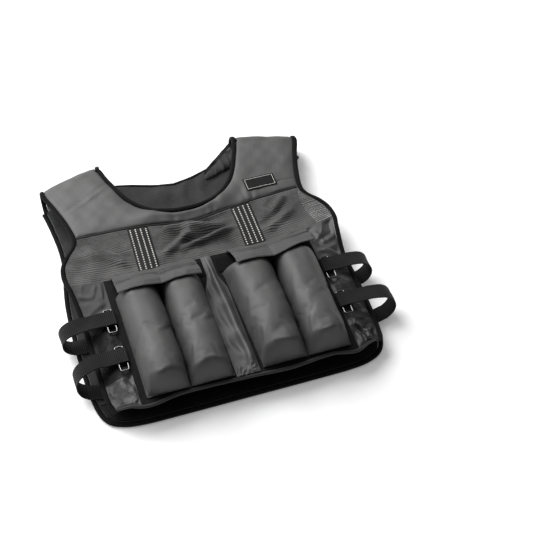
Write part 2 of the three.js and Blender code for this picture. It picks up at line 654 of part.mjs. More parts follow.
// Nylon panel, centre strip, sides and front hem

const PANEL_COLUMNS = 20;
const WING_COLUMNS = 4;

function makePanel() {
  const middle = (u, v) => {
    const x = (2 * u - 1) * PANEL_HALF;
    return onVest(x, lerp(panelFoot(x), meshSeam(x) - GAP, v));
  };
  add("front_panel", "nylon", wall(PANEL_COLUMNS, 3, middle, PANEL_THICK));

  const stripFoot = POCKET_FOOT + GAP;
  const stripHead = MESH_SEAM - 2 * GAP;
  const ridge = (u, v, z) => {
    const x = lerp(STRIP_LEFT, STRIP_RIGHT, u);
    const y = lerp(stripFoot, stripHead, v);
    const ends = smoothstep(v, 0, 0.12) * (1 - smoothstep(v, 0.75, 1));
    const lean = RIDGE.middle + RIDGE.sway * Math.sin(2 * Math.PI * v);
    const across = (u - lean) / RIDGE.width;
    return new THREE.Vector3(x, y, z + STRIP_RIDGE * ends * Math.exp(-across * across));
  };
  const base = PANEL_TOP + GAP;
  const top = (u, v) => ridge(u, v, base + PANEL_THICK);
  const bottom = (u, v) => ridge(u, v, base);
  add("centre_strip", "nylon", closedGrid(6, 10, top, bottom));

  const hemMiddle = (u, v) => {
    const station = Math.abs(2 * u - 1) * (PANEL_COLUMNS / 2 + WING_COLUMNS);
    const onWing = Math.max(station - PANEL_COLUMNS / 2, 0) / WING_COLUMNS;
    const onPanel = Math.min(station / (PANEL_COLUMNS / 2), 1);
    const corner = frontHem(Math.sign(2 * u - 1) * HALF_WIDTH) + v * HEM_BINDING;
    const reach = frontEdge(corner) - BESIDE_BINDING;
    const x = Math.sign(2 * u - 1) * (onPanel * PANEL_HALF + onWing * (reach - PANEL_HALF));
    return onVest(x, frontHem(x) + v * HEM_BINDING);
  };
  const hemColumns = PANEL_COLUMNS + 2 * WING_COLUMNS;
  add("front_hem_binding", "binding", wall(hemColumns, 1, hemMiddle, PANEL_THICK + 2 * TRIM_THICK));
}

function makeSides() {
  const pieces = [
    { name: "wing_lower", material: "nylon", zone: "wingLower" },
    { name: "side_inset", material: "black", zone: "sideInset" },
    { name: "wing_upper", material: "nylon", zone: "wingUpper" },
  ];
  for (const [word, side] of [["left", -1], ["right", 1]]) {
    for (const piece of pieces) {
      const { low, high } = SIDE_ZONES[piece.zone];
      const footReach = piece.zone === "wingLower" ? hemInside(side) : MESH_LOW_INSIDE;
      const middle = (u, v) => {
        const outward = side > 0 ? u : 1 - u;
        const footY = low(side * lerp(PANEL_HALF, footReach, outward));
        const headY = high(side * lerp(PANEL_HALF, MESH_LOW_INSIDE, outward));
        const y = lerp(footY, headY, v);
        return onVest(side * lerp(PANEL_HALF + GAP, frontEdge(y) - BESIDE_BINDING, outward), y);
      };
      add(`${piece.name}_${word}`, piece.material, wall(WING_COLUMNS, ROWS[piece.zone], middle, PANEL_THICK));
    }
  }
}

// Pockets, flaps and hook patches

/** Height of a pocket above its seams: share across from -1 to 1, height of the place along the pocket. */
function loafHeight(across, y, full) {
  const { foot, head, sides } = LOAF;
  const fromFoot = clamp((y - POCKET_FOOT) / POCKET_END, 0, 1);
  const fromHead = clamp((POCKET_FOOT + POCKET_LENGTH - y) / POCKET_HEAD, 0, 1);
  const ends = Math.sqrt(1 - (1 - fromFoot) ** foot) * Math.sqrt(1 - (1 - fromHead) ** head);
  const section = Math.sqrt(Math.max(1 - Math.abs(across) ** sides, 0));
  return Math.max(POCKET_HEIGHT * full * section * ends, POCKET_LIP);
}

function pocketSides(pocket, y) {
  const up = (y - POCKET_FOOT) / POCKET_LENGTH;
  return {
    left: lerp(pocket.footLeft, pocket.headLeft, up) * POCKET_WIDTH,
    right: lerp(pocket.footRight, pocket.headRight, up) * POCKET_WIDTH - GAP,
  };
}

function makePockets() {
  // Rows close together where the ends round over, in shares of the length
  const rowShares = [0, 0.012, 0.03, 0.065, 0.15, 0.32, 0.5, 0.68, 0.86, 0.93, 0.965, 0.99, 1];
  const rows = rowShares.length - 1;
  for (const pocket of POCKETS) {
    const plan = (u, v) => {
      const y = POCKET_FOOT + rowShares[Math.round(v * rows)] * POCKET_LENGTH;
      const across = -Math.cos(Math.PI * u);
      const { left, right } = pocketSides(pocket, y);
      return { x: lerp(left, right, (across + 1) / 2), y, across };
    };
    const base = PANEL_TOP + GAP;
    const top = (u, v) => {
      const { x, y, across } = plan(u, v);
      return new THREE.Vector3(x, y, base + loafHeight(across, y, pocket.full));
    };
    const bottom = (u, v) => {
      const { x, y } = plan(u, v);
      return new THREE.Vector3(x, y, base);
    };
    add(pocket.name, "nylon", closedGrid(12, rows, top, bottom));
  }
}

/** Height of the pockets above the panel at a place, or 0 beside them. */
function pocketRise(x, y) {
  if (y < POCKET_FOOT || y > POCKET_FOOT + POCKET_LENGTH) return 0;
  let rise = 0;
  for (const pocket of POCKETS) {
    const { left, right } = pocketSides(pocket, y);
    const across = (2 * (x - left)) / (right - left) - 1;
    if (Math.abs(across) < 1) rise = Math.max(rise, loafHeight(across, y, pocket.full));
  }
  return rise;
}

/** Height of a flap above the panel: it bridges the valleys and runs straight up from its seam. */
function flapRise(x, y, seamY) {
  let rise = 0;
  for (const across of [-FLAP_SPREAD, 0, FLAP_SPREAD]) {
    for (const along of [-FLAP_SPREAD, 0, FLAP_SPREAD / 2]) {
      rise = Math.max(rise, pocketRise(x + across, y + along));
    }
  }
  const shoulder = POCKET_FOOT + POCKET_LENGTH - POCKET_HEAD;
  let crown = 0;
  for (const across of [-FLAP_SPREAD, 0, FLAP_SPREAD]) {
    crown = Math.max(crown, pocketRise(x + across, shoulder));
  }
  const climbed = clamp((seamY - y) / (seamY - shoulder), 0, 1);
  return Math.max(rise, crown * Math.sin(climbed * Math.PI / 2)) + FLAP_LIFT * Math.min(1, 4 * climbed);
}

function makeFlaps() {
  for (const flap of FLAPS) {
    const middle = (u, v) => {
      const x = lerp(flap.left, flap.right, u) * POCKET_WIDTH;
      const raise = flap.raise * FLAP_LENGTH * smoothstep(u, 0.45, 1);
      const seamY = meshSeam(x) - TRIM_THICK;
      const y = lerp(seamY - FLAP_LENGTH + raise, seamY, v);
      const z = PANEL_TOP + GAP + FLAP_THICK / 2 + flapRise(x, y, seamY);
      return new THREE.Vector3(x, y, z);
    };
    add(flap.name, "nylon", wall(16, 6, middle, FLAP_THICK));
  }
  const mouth = POCKET_FOOT + POCKET_LENGTH;
  for (const patch of HOOK_PATCHES) {
    const middle = (u, v) => {
      const x = lerp(patch.left, patch.right, u) * POCKET_WIDTH;
      const y = mouth + lerp(patch.low, patch.high, v) * MOUTH_HEIGHT;
      return new THREE.Vector3(x, y, PANEL_TOP + GAP + TRIM_THICK / 2);
    };
    add(patch.name, "black", wall(2, 3, middle, TRIM_THICK));
  }
}

// Straps and rings

const RING_X = PANEL_HALF + WEBBING_THICK; // the inner wire of each ring, from the middle of the vest
const WRAP_RADIUS = WIRE / 2 + RING_CLEARANCE + WEBBING_THICK / 2;
const WIRE_HEIGHT = PANEL_TOP + GAP + WEBBING_THICK / 2 + WRAP_RADIUS;
const STRAP_HIGH = WIRE_HEIGHT + WRAP_RADIUS;
const STRAP_LOW = BACK_BINDING_THICK + GAP + WEBBING_THICK;
const STRAP_TAIL = 14; // length of webbing turned back under a ring
const STRAP_END = 0.86; // where the lower run ends, in shares of HALF_WIDTH
const TWIST_FROM = 0.9; // from here on a strap leans to its back end's height

/** The middle line of a strap from its tail, round the ring, out, over and back, as distance and height. */
function strapLine(reach) {
  const points = [];
  const arc = (centre, radius, from, to, steps, middleHeight) => {
    for (let i = 0; i <= steps; i += 1) {
      const angle = lerp(from, to, i / steps);
      points.push({ out: centre + radius * Math.cos(angle), z: middleHeight + radius * Math.sin(angle) });
    }
  };
  points.push({ out: RING_X + STRAP_TAIL, z: WIRE_HEIGHT - WRAP_RADIUS });
  arc(RING_X, WRAP_RADIUS, 1.5 * Math.PI, 0.5 * Math.PI, 4, WIRE_HEIGHT);
  const turnRadius = (STRAP_HIGH - STRAP_LOW) / 2;
  const turnCentre = reach - turnRadius - WEBBING_THICK / 2;
  points.push({ out: lerp(RING_X, turnCentre, 0.5), z: STRAP_HIGH });
  arc(turnCentre, turnRadius, 0.5 * Math.PI, -0.5 * Math.PI, 8, STRAP_LOW + turnRadius);
  points.push({ out: STRAP_END * HALF_WIDTH, z: STRAP_LOW });
  return points;
}

function makeStraps() {
  for (const strap of STRAPS) {
    const line = strapLine(strap.reach * HALF_WIDTH);
    const steps = line.length - 1;
    const frontY = POCKET_FOOT + strap.front * POCKET_LENGTH;
    const backY = POCKET_FOOT + strap.back * POCKET_LENGTH;
    const turnStart = line.findIndex((point) => point.out > TWIST_FROM * HALF_WIDTH);
    const middle = (u, v) => {
      const place = Math.min(u * steps, steps - 1e-9);
      const i = Math.floor(place);
      const share = place - i;
      const out = lerp(line[i].out, line[i + 1].out, share);
      const z = lerp(line[i].z, line[i + 1].z, share);
      const turned = clamp((place - turnStart) / (steps - turnStart), 0, 1);
      const y = lerp(frontY, backY, turned) + (strap.side > 0 ? v - 0.5 : 0.5 - v) * WEBBING_WIDTH;
      return new THREE.Vector3(strap.side * out, y, z);
    };
    add(`strap_${strap.name}`, "webbing", wall(steps, 1, middle, WEBBING_THICK));

    class RingPath extends THREE.Curve {
      getPoint(t) {
        const angle = 2 * Math.PI * t;
        const squared = (value) => Math.sign(value) * Math.abs(value) ** 0.25;
        const x = strap.side * (RING_X + RING_HALF_WIDTH) + RING_HALF_WIDTH * squared(Math.cos(angle));
        const y = frontY - RING_DROP + RING_HALF_LENGTH * squared(Math.sin(angle));
        return new THREE.Vector3(x, y, WIRE_HEIGHT);
      }
    }
    add(`ring_${strap.name}`, "steel", new THREE.TubeGeometry(new RingPath(), 16, WIRE / 2, 6, true));
  }
}

makeBack();
makeBackBindings();
makeYoke();
makeEdgeBindings();
makeMesh();
makePanel();
makeSides();
makePockets();
makeFlaps();
makeStraps();

// The origin is on the floor, in the middle of the whole vest
const middle = new THREE.Box3().setFromObject(vest).getCenter(new THREE.Vector3());
vest.position.set(-middle.x, -middle.y, 0);
vest.updateMatrixWorld(true);

export default vest;
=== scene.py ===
"""A weighted vest that lies on its back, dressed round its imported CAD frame.

Sizes are metres. The pattern counts Y from the back hem to the shoulders and X from the middle of the
front, as the CAD source does, and every piece is moved to the frame's origin when its mesh is made.
"""

import math

import bpy
import numpy as np
from bpy.props import FloatProperty, FloatVectorProperty, PointerProperty
from mathutils import Matrix, Vector


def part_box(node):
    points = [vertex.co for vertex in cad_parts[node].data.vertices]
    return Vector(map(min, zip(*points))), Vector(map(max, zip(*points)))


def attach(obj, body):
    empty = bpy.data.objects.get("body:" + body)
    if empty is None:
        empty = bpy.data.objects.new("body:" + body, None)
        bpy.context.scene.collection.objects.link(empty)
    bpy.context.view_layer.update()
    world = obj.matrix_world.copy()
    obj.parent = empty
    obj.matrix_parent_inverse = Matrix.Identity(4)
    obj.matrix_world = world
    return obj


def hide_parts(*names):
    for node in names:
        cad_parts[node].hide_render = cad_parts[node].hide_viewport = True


bl_info = {
    "name": "Weighted vest",
    "version": (1, 0, 0),
    "blender": (4, 5, 0),
    "location": "3D View > Sidebar > Vest",
    "description": "Builds a padded vest with filled pockets, mesh chest and webbing straps",
    "category": "Add Mesh",
}

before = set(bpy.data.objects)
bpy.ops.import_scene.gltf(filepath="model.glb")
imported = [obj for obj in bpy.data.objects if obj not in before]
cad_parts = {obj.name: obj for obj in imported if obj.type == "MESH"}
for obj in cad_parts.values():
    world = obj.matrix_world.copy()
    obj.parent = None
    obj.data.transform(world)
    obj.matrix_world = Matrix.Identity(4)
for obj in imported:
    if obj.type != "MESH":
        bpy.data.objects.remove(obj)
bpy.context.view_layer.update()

# The pattern's sizes, as in the CAD source, but for the width of the bindings
HALF_WIDTH = 0.215
NECK_HALF = 0.110
YOKE_HEIGHT = 0.141
MESH_HEIGHT = 0.088
FRONT_RISE = 0.036
SHOULDER_SLOPE = 0.3
BACK_SHIFT = -0.005
NECK_FOOT = 0.135
POCKET_WIDTH = 0.063
POCKET_LENGTH = 0.183
POCKET_FOOT = 0.017
POCKET_LIP = 0.002
MOUTH_HEIGHT = 0.040
FLAP_LENGTH = 0.060
GAP = 0.0003
YOKE_THICK = 0.005
MESH_THICK = 0.0016
PANEL_THICK = 0.0024
BACK_THICK = 0.006
LINING_THICK = 0.0014
FLAP_THICK = 0.0016
TRIM_THICK = 0.0012
BINDING_WIDTH = 0.0072
BINDING_THICK = 0.0054
BACK_BINDING_THICK = 0.007
HEM_BINDING = 0.005
PIPING = 0.003
YOKE_BEHIND = 0.008
HEM_RISE = 0.008
WEBBING_WIDTH = 0.025
WEBBING_THICK = 0.0018
WIRE = 0.0024
RING_HALF_LENGTH = 0.021
RING_HALF_WIDTH = 0.006
RING_DROP = 0.004
RING_CLEARANCE = 0.0004
RING_CORNER = 0.25
TAPE_WIDTH = 0.032
WING_DROP = 0.013
PANEL_HALF = 2.45 * POCKET_WIDTH + 0.003
STRAP_TAIL = 0.014
STRAP_END = 0.86
STRAP_SAG = 0.0006
NECK_NARROWS = 0.004
SEAM_SAG = 0.004
SEAM_SAG_HEIGHT = 0.014
NECK_LIFT = 0.004
NECK_LIFT_HEIGHT = 0.012
SAG_MIDDLE = -0.012
SAG_WIDTH = 0.07

MESH_SEAM = POCKET_FOOT + POCKET_LENGTH + MOUTH_HEIGHT
YOKE_SEAM = MESH_SEAM + MESH_HEIGHT
FOLD = YOKE_SEAM + YOKE_HEIGHT
NECK_LOW = YOKE_SEAM + NECK_FOOT * YOKE_HEIGHT
INSET_LOW = POCKET_FOOT + 0.25 * POCKET_LENGTH
INSET_HIGH = POCKET_FOOT + 0.9 * POCKET_LENGTH
FOLD_RADIUS = (FRONT_RISE - YOKE_THICK / 2 - 2 * GAP) / 2
HALF_TURN = math.pi * FOLD_RADIUS
PANEL_TOP = FRONT_RISE + PANEL_THICK / 2
FOLD_OUTSIDE = FOLD - SHOULDER_SLOPE * (HALF_WIDTH - NECK_HALF)
BESIDE_BINDING = BINDING_WIDTH + GAP
SEAM_ROOM = PIPING / 2 + GAP
RING_X = PANEL_HALF + WEBBING_THICK
WRAP_RADIUS = WIRE / 2 + RING_CLEARANCE + WEBBING_THICK / 2
WIRE_HEIGHT = PANEL_TOP + GAP + WEBBING_THICK / 2 + WRAP_RADIUS
STRAP_HIGH = WIRE_HEIGHT + WRAP_RADIUS
STRAP_LOW = BACK_BINDING_THICK + GAP + WEBBING_THICK

# The frame's origin, counted from the back hem
ORIGIN_Y = POCKET_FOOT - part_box("pocket_1")[0].y

# Tables of the pattern, each a row of places and a row of values
FRONT_SIDE_Y = np.concatenate([
    np.array([0.03, 0.08, 0.17, 0.5, 0.8, 1.0]) * MESH_SEAM,
    MESH_SEAM + np.array([0.25, 0.5, 0.7, 0.88]) * MESH_HEIGHT,
    YOKE_SEAM + np.array([0.03, 0.2, 0.5, 0.72, 0.8]) * YOKE_HEIGHT,
])
FRONT_SIDE_OUT = np.array([
    0.87, 0.92, 0.945, 0.95, 0.955, 0.98, 0.998, 0.985, 0.94, 0.885, 0.86, 0.872, 0.92, 0.972, 0.985,
])
YOKE_SEAM_LINE = (
    [-0.86, -0.47, -0.23, 0.0, 0.23, 0.47, 0.86],
    [0.055, 0.035, 0.0, -0.05, -0.015, 0.025, 0.065],
)
MESH_SEAM_LINE = ([-1.0, -0.7, 0.0, 0.5, 0.7, 1.0], [0.13, 0.0, 0.0, 0.0, 0.08, 0.26])
HEM_LINE = (
    [-0.87, -0.7, -0.47, 0.0, 0.25, 0.55, 0.72, 0.87],
    [2.1, 0.5, 1.3, 1.0, 0.6, 1.2, 0.5, 2.6],
)
NECK_LINE = (
    [0.0, 0.2, 0.39, 0.56, 0.7, 0.8, 0.885, 0.955, 1.0],
    [0.0, 0.015, 0.08, 0.19, 0.33, 0.5, 0.7, 0.87, 1.0],
)
BACK_NECK = ([0.0, 0.27, 0.55, 0.8, 1.0], [0.225, 0.185, 0.11, 0.045, 0.0])

# The back's outline from its shoulder seams down to the hem: zone, share up it, left and right reach
BACK_OUTLINE = [
    ("yoke", 0.72, 0.975, 1.01), ("yoke", 0.45, 0.95, 0.93), ("yoke", 0.18, 0.935, 0.88),
    ("mesh", 0.95, 0.937, 0.872), ("mesh", 0.6, 0.955, 0.9), ("mesh", 0.25, 0.98, 0.95),
    ("body", 0.92, 1.0, 1.0), ("body", 0.65, 1.01, 1.012), ("body", 0.38, 1.008, 1.01),
    ("body", 0.19, 0.99, 0.992), ("body", 0.08, 0.945, 0.945), ("body", 0.027, 0.855, 0.855),
    ("body", 0.004, 0.71, 0.71), ("body", 0.0, 0.45, 0.45), ("body", 0.0, 0.0, 0.0),
]
BACK_CORNER = 11
FACING_SHARE = 2 / BACK_CORNER
SHOULDER_COLUMNS = 0.25

# Foot and height of each zone of the pattern
ZONES = {"body": (0.0, MESH_SEAM), "mesh": (MESH_SEAM, MESH_HEIGHT), "yoke": (YOKE_SEAM, YOKE_HEIGHT)}

# Dents and folds of the mesh: place across and up, size across and up, depth, in shares of its sizes
MESH_DENTS = [
    (0.03, 0.27, 0.17, 0.12, 0.10), (-0.1, 0.62, 0.12, 0.2, -0.06), (0.08, 0.86, 0.2, 0.1, 0.08),
    (0.57, 0.45, 0.09, 0.2, 0.08), (-0.66, 0.4, 0.1, 0.25, 0.06),
]

# Pockets: sides at the foot and at the head in pocket widths, fullness
POCKETS = [
    ("pocket_1", (-2.35, -1.35), (-2.35, -1.35), 1.0),
    ("pocket_2", (-1.34, -0.36), (-1.34, -0.35), 0.97),
    ("pocket_3", (0.3, 1.34), (0.21, 1.36), 1.0),
    ("pocket_4", (1.35, 2.35), (1.37, 2.43), 0.98),
]

# Flaps: ends in pocket widths, how far the right end is raised, pockets below
FLAPS = [
    ("flap_left", -2.33, -0.36, 0.0, ("pocket_1", "pocket_2")),
    ("flap_right", 0.48, 2.44, 0.12, ("pocket_3", "pocket_4")),
]

# Hook patches: ends in pocket widths. Tapes: middle at the top and at the foot in half widths
HOOK_PATCHES = [("hook_patch_left", -0.33, -0.17), ("hook_patch_right", 0.14, 0.46)]
TAPES = [("tape_left", -0.39, -0.405), ("tape_right", 0.366, 0.363)]

# Straps: side, places of the ring and of the back end up the pockets, reach in half widths
STRAPS = [
    ("left_top", -1, 0.81, 0.72, 1.112),
    ("left_low", -1, 0.43, 0.24, 1.098),
    ("right_top", 1, 0.81, 0.72, 1.07),
    ("right_low", 1, 0.43, 0.29, 1.112),
]

# Columns and rows of each grid, by the start of the piece's name
GRIDS = {
    "back_panel": (90, 90),
    "back_facing": (120, 10),
    "back_lining": (110, 110),
    "back_binding": (420, 10),
    "back_neck_binding": (160, 10),
    "folded_corner": (60, 30),
    "front_yoke": (420, 56),
    "neck_binding": (420, 10),
    "edge_binding": (420, 10),
    "front_hem_binding": (300, 8),
    "front_mesh": (260, 90),
    "tape": (40, 90),
    "label_patch": (60, 32),
    "front_panel": (100, 60),
    "centre_strip": (40, 200),
    "wing": (76, 60),
    "side_inset": (36, 40),
    "pocket": (44, 72),
    "flap": (150, 70),
    "hook_patch": (24, 24),
    "strap": (220, 12),
}

# Folds: start, end, width, height, and the share of the hollow beside them
YOKE_CREASES = [
    ((-0.185, 0.385), (-0.105, 0.428), 0.004, 0.0009, 0.6),
    ((0.105, 0.357), (0.185, 0.356), 0.0014, -0.0010, 0.0),
    ((0.12, 0.452), (0.19, 0.440), 0.006, 0.0008, 0.5),
]
MESH_FOLDS = [
    ((-0.055, 0.312), (0.03, 0.300), 0.007, 0.0035, 0.8),
    ((-0.03, 0.268), (0.055, 0.285), 0.006, 0.0030, 0.9),
    ((-0.06, 0.262), (-0.01, 0.295), 0.007, 0.0025, 0.5),
    ((0.10, 0.262), (0.155, 0.295), 0.008, 0.0022, 0.6),
    ((0.125, 0.300), (0.15, 0.325), 0.007, 0.0016, 0.5),
    ((-0.165, 0.300), (-0.11, 0.262), 0.009, 0.0018, 0.5),
]
MESH_FOLD_SCALE = 2.9
STRIP_FOLDS = [
    ((-0.019, 0.185), (-0.004, 0.135), 0.0060, 0.0018, 0.4),
    ((-0.019, 0.125), (-0.003, 0.080), 0.0055, 0.0014, 0.4),
    ((-0.018, 0.075), (-0.002, 0.040), 0.0050, 0.0016, 0.4),
    ((-0.006, 0.225), (-0.009, 0.190), 0.0035, 0.0010, 0.4),
]
UPPER_WING_FOLDS = [
    ((0.162, 0.234), (0.166, 0.208), 0.0025, 0.0022, 0.5),
    ((0.171, 0.236), (0.180, 0.214), 0.0030, 0.0018, 0.5),
    ((0.165, 0.200), (0.200, 0.186), 0.005, 0.004, 0.5),
    ((0.176, 0.215), (0.202, 0.228), 0.004, 0.003, 0.5),
]
RIGHT_CORNER_FOLDS = [
    ((0.176, 0.014), (0.176, 0.034), 0.003, 0.005, 0.4),
    ((0.176, 0.032), (0.168, 0.052), 0.003, 0.005, 0.4),
    ((0.176, 0.032), (0.192, 0.050), 0.003, 0.005, 0.4),
]

# Stitches: length, pitch and radius
TAPE_DASH = (0.0027, 0.0043, 0.0011)
LABEL_STITCH = (0.0019, 0.0021, 0.0005)
STRIP_STITCH = (0.0018, 0.0026, 0.0005)
FLAP_STITCH_RADIUS = 0.0009

# Rows of stitches, as shares across the tape or strip and up the flap, which has a step between them
TAPE_ROWS = (0.125, 0.375, 0.625, 0.875)
STRIP_ROWS = (0.22, 0.48)
FLAP_ROWS = (0.56, 0.43)
FLAP_STEP = 0.0019

# The cloth simulation of the pockets
SWELL_FRAMES = 16
SWELL_PRESSURE = 4
SWELL_STIFFNESS = 12
SWELL_SHRINK = -0.004

# The stage's floor, its sky by direction and brightness, and its lights by place, size and power
FLOOR_SIZE = 16
FLOOR_WHITE = 0.97
FLOOR_GLOW = 0.17
SKY_FRONT, SKY_BEHIND = (-0.6, 0.12), (0.7, 0.50)
LIGHTS = [("key", (-0.70, 1.40, 1.60), 1.7, 74), ("side", (-1.9, 0.2, 1.1), 1.2, 14)]

# The camera that took the photograph, with its roll in degrees
CAMERA_PLACE = (-0.2906, -1.2065, 1.4423)
CAMERA_TARGET = (0.1005, -0.0521, 0.0)
CAMERA_ROLL = 0.508
CAMERA_LENS = 80.35
CAMERA_SENSOR = 36


# Helpers for curves

TINY = 1e-4


def smooth(x, low, high):
    """A smooth step from 0 at low to 1 at high."""
    t = np.clip((x - low) / (high - low), 0, 1)
    return t * t * (3 - 2 * t)


def through(keys, values):
    """A smooth function through a table's rows."""
    keys, values = np.array(keys, float), np.array(values, float)
    after = np.minimum(np.arange(len(keys)) + 1, len(keys) - 1)
    before = np.maximum(np.arange(len(keys)) - 1, 0)
    slopes = (values[after] - values[before]) / (keys[after] - keys[before])

    def curve(at):
        i = np.clip(np.searchsorted(keys, at, side="right") - 1, 0, len(keys) - 2)
        span = keys[i + 1] - keys[i]
        t = np.clip((at - keys[i]) / span, 0, 1)
        rest = 1 - t
        from_low = rest * rest * ((1 + 2 * t) * values[i] + t * span * slopes[i])
        from_high = t * t * ((3 - 2 * t) * values[i + 1] - rest * span * slopes[i + 1])
        return from_low + from_high

    return curve


def spline(points):
    """A smooth line through points in the plane, as a function of the share along it, and its tangent."""
    points = np.array(points, float)
    last = len(points) - 1

    def point(t):
        place = np.clip(t, 0, 1) * last
        i = np.minimum(place.astype(int), last)
        w = (place - i)[..., None]
        p0, p1 = points[np.maximum(i - 1, 0)], points[i]
        p2, p3 = points[np.minimum(i + 1, last)], points[np.minimum(i + 2, last)]
        v0, v1 = (p2 - p0) / 2, (p3 - p1) / 2
        cubic = (2 * p1 - 2 * p2 + v0 + v1) * w**3 + (-3 * p1 + 3 * p2 - 2 * v0 - v1) * w**2
        return cubic + v0 * w + p1

    def tangent(t):
        along = point(np.minimum(t + TINY, 1)) - point(np.maximum(t - TINY, 0))
        return along / np.linalg.norm(along, axis=-1, keepdims=True)

    return point, tangent


def ripple(x, y, size, seed, waves=10):
    """Smooth random relief, about -1 to 1, with features of a size."""
    draw = np.random.default_rng(seed)
    total = np.zeros_like(x)
    for _ in range(waves):
        angle, phase = draw.uniform(0, 2 * math.pi, 2)
        length = size * draw.uniform(0.8, 2.0)
        turn = 2 * math.pi / length
        total += np.sin(turn * (x * math.cos(angle) + y * math.sin(angle)) + phase)
    return total / math.sqrt(waves)


def crumple(x, y, size, seed):
    """Relief with soft hollows between narrow ridges, about -1 to 1."""
    return 1 - 2 * np.sqrt(np.abs(ripple(x, y, size, seed)) / 1.6 + 0.02)


def fold_line(x, y, start, end, width, height, one_sided=0.0):
    """A fold that runs from one point to another and dies out at both ends."""
    start, end = np.array(start, float), np.array(end, float)
    span = end - start
    length = np.linalg.norm(span)
    along = ((x - start[0]) * span[0] + (y - start[1]) * span[1]) / length**2
    across = ((x - start[0]) * -span[1] + (y - start[1]) * span[0]) / length / width
    ends = smooth(along, -0.15, 0.25) * (1 - smooth(along, 0.75, 1.15))
    shape = np.exp(-across * across) - one_sided * np.exp(-((across - 1.6) ** 2))
    return height * ends * shape


def folds(x, y, rows):
    """Height of a table's folds."""
    return sum(fold_line(x, y, *row) for row in rows)


# The lines of the pattern

front_side = through(FRONT_SIDE_Y, FRONT_SIDE_OUT)
yoke_rise = through(*YOKE_SEAM_LINE)
mesh_rise = through(*MESH_SEAM_LINE)
hem_rise = through(*HEM_LINE)
back_neck_fall = through(*BACK_NECK)


def front_edge(y):
    return HALF_WIDTH * front_side(y)


def yoke_seam(x):
    return YOKE_SEAM + YOKE_HEIGHT * yoke_rise(x / HALF_WIDTH)


def mesh_seam(x):
    return MESH_SEAM + MESH_HEIGHT * mesh_rise(x / HALF_WIDTH)


def front_hem(x):
    return HEM_RISE * hem_rise(x / HALF_WIDTH)


def panel_foot(x):
    return front_hem(x) + HEM_BINDING + GAP


def shoulder_fold(x):
    return FOLD - SHOULDER_SLOPE * (np.abs(x) - NECK_HALF)


def seam_behind(x):
    return shoulder_fold(x) - YOKE_BEHIND - GAP


MESH_LOW_INSIDE = float(front_edge(MESH_SEAM)) - BESIDE_BINDING
YOKE_LOW_INSIDE = float(front_edge(YOKE_SEAM + 0.065 * YOKE_HEIGHT)) - BESIDE_BINDING


def hem_inside(side):
    return float(front_edge(panel_foot(side * HALF_WIDTH))) - BESIDE_BINDING


def beside_edge(y, inset):
    """A point of the front beside its outer edge, which follows the fold near the shoulder."""
    x = front_edge(y) - inset
    near_fold = smooth(y, FOLD_OUTSIDE - 0.3 * YOKE_HEIGHT, FOLD_OUTSIDE)
    return x, y + near_fold * (shoulder_fold(x) - FOLD_OUTSIDE)


def front_height(x, y):
    """Height of the middle of the front's cloth."""
    in_mesh = smooth(y, mesh_seam(x), mesh_seam(x) + 0.15 * MESH_HEIGHT)
    in_mesh = in_mesh * (1 - smooth(y, yoke_seam(x) - 0.1 * MESH_HEIGHT, yoke_seam(x)))
    height = np.full_like(x, FRONT_RISE)
    for across, up, wide, tall, deep in MESH_DENTS:
        a = (x - across * HALF_WIDTH) / (wide * HALF_WIDTH)
        b = (y - MESH_SEAM - up * MESH_HEIGHT) / (tall * MESH_HEIGHT)
        height = height - deep * FRONT_RISE * in_mesh * np.exp(-a * a - b * b)
    middle = np.exp(-(((x - SAG_MIDDLE) / SAG_WIDTH) ** 2))
    height = height - SEAM_SAG * middle * np.exp(-(((y - yoke_seam(x)) / SEAM_SAG_HEIGHT) ** 2))
    height = height + NECK_LIFT * middle * np.exp(-(((y - NECK_LOW) / NECK_LIFT_HEIGHT) ** 2))
    outwards = smooth(np.abs(x), PANEL_HALF + RING_HALF_WIDTH * 2, front_edge(y))
    below = 1 - smooth(y, INSET_HIGH, MESH_SEAM + 0.3 * MESH_HEIGHT)
    return height - WING_DROP * outwards * below


def on_vest(x, along):
    """A point in the cloth of the front, which turns over at the shoulder fold and runs on under it."""
    x, along = np.broadcast_arrays(np.asarray(x, float), np.asarray(along, float))
    past = along - shoulder_fold(x)
    angle = np.clip(past / FOLD_RADIUS, 0, math.pi)
    under = np.maximum(past - HALF_TURN, 0)
    y = np.where(past <= 0, along, shoulder_fold(x) + FOLD_RADIUS * np.sin(angle) - under)
    turned = FRONT_RISE - FOLD_RADIUS + FOLD_RADIUS * np.cos(angle)
    return np.stack([x, y, np.where(past <= 0, front_height(x, along), turned)], -1)


# The outline of the back


def back_points(column, sign):
    points = []
    for row, (zone, up, *outs) in enumerate(BACK_OUTLINE):
        x = BACK_SHIFT + sign * outs[column] * HALF_WIDTH
        start, size = ZONES[zone]
        points.append((x, float(seam_behind(x)) if row == 0 else start + up * size))
    return points


LEFT_POINTS = back_points(0, -1)
RIGHT_POINTS = back_points(1, 1)[:-1]
back_line, back_tangent = spline(LEFT_POINTS + RIGHT_POINTS[::-1])
CORNER_SHARE = BACK_CORNER / (len(LEFT_POINTS) + len(RIGHT_POINTS) - 1)


def back_edge(share, inset):
    """The back's edge from the left shoulder seam round the hem to the right one, moved inwards."""
    share = np.asarray(share, float)
    tangent, point = back_tangent(share), back_line(share)
    x = point[..., 0] - tangent[..., 1] * inset
    y = point[..., 1] + tangent[..., 0] * inset
    near_seam = np.abs(2 * share - 1) ** 40
    return np.stack([x, y + near_seam * (seam_behind(x) - y)], -1)


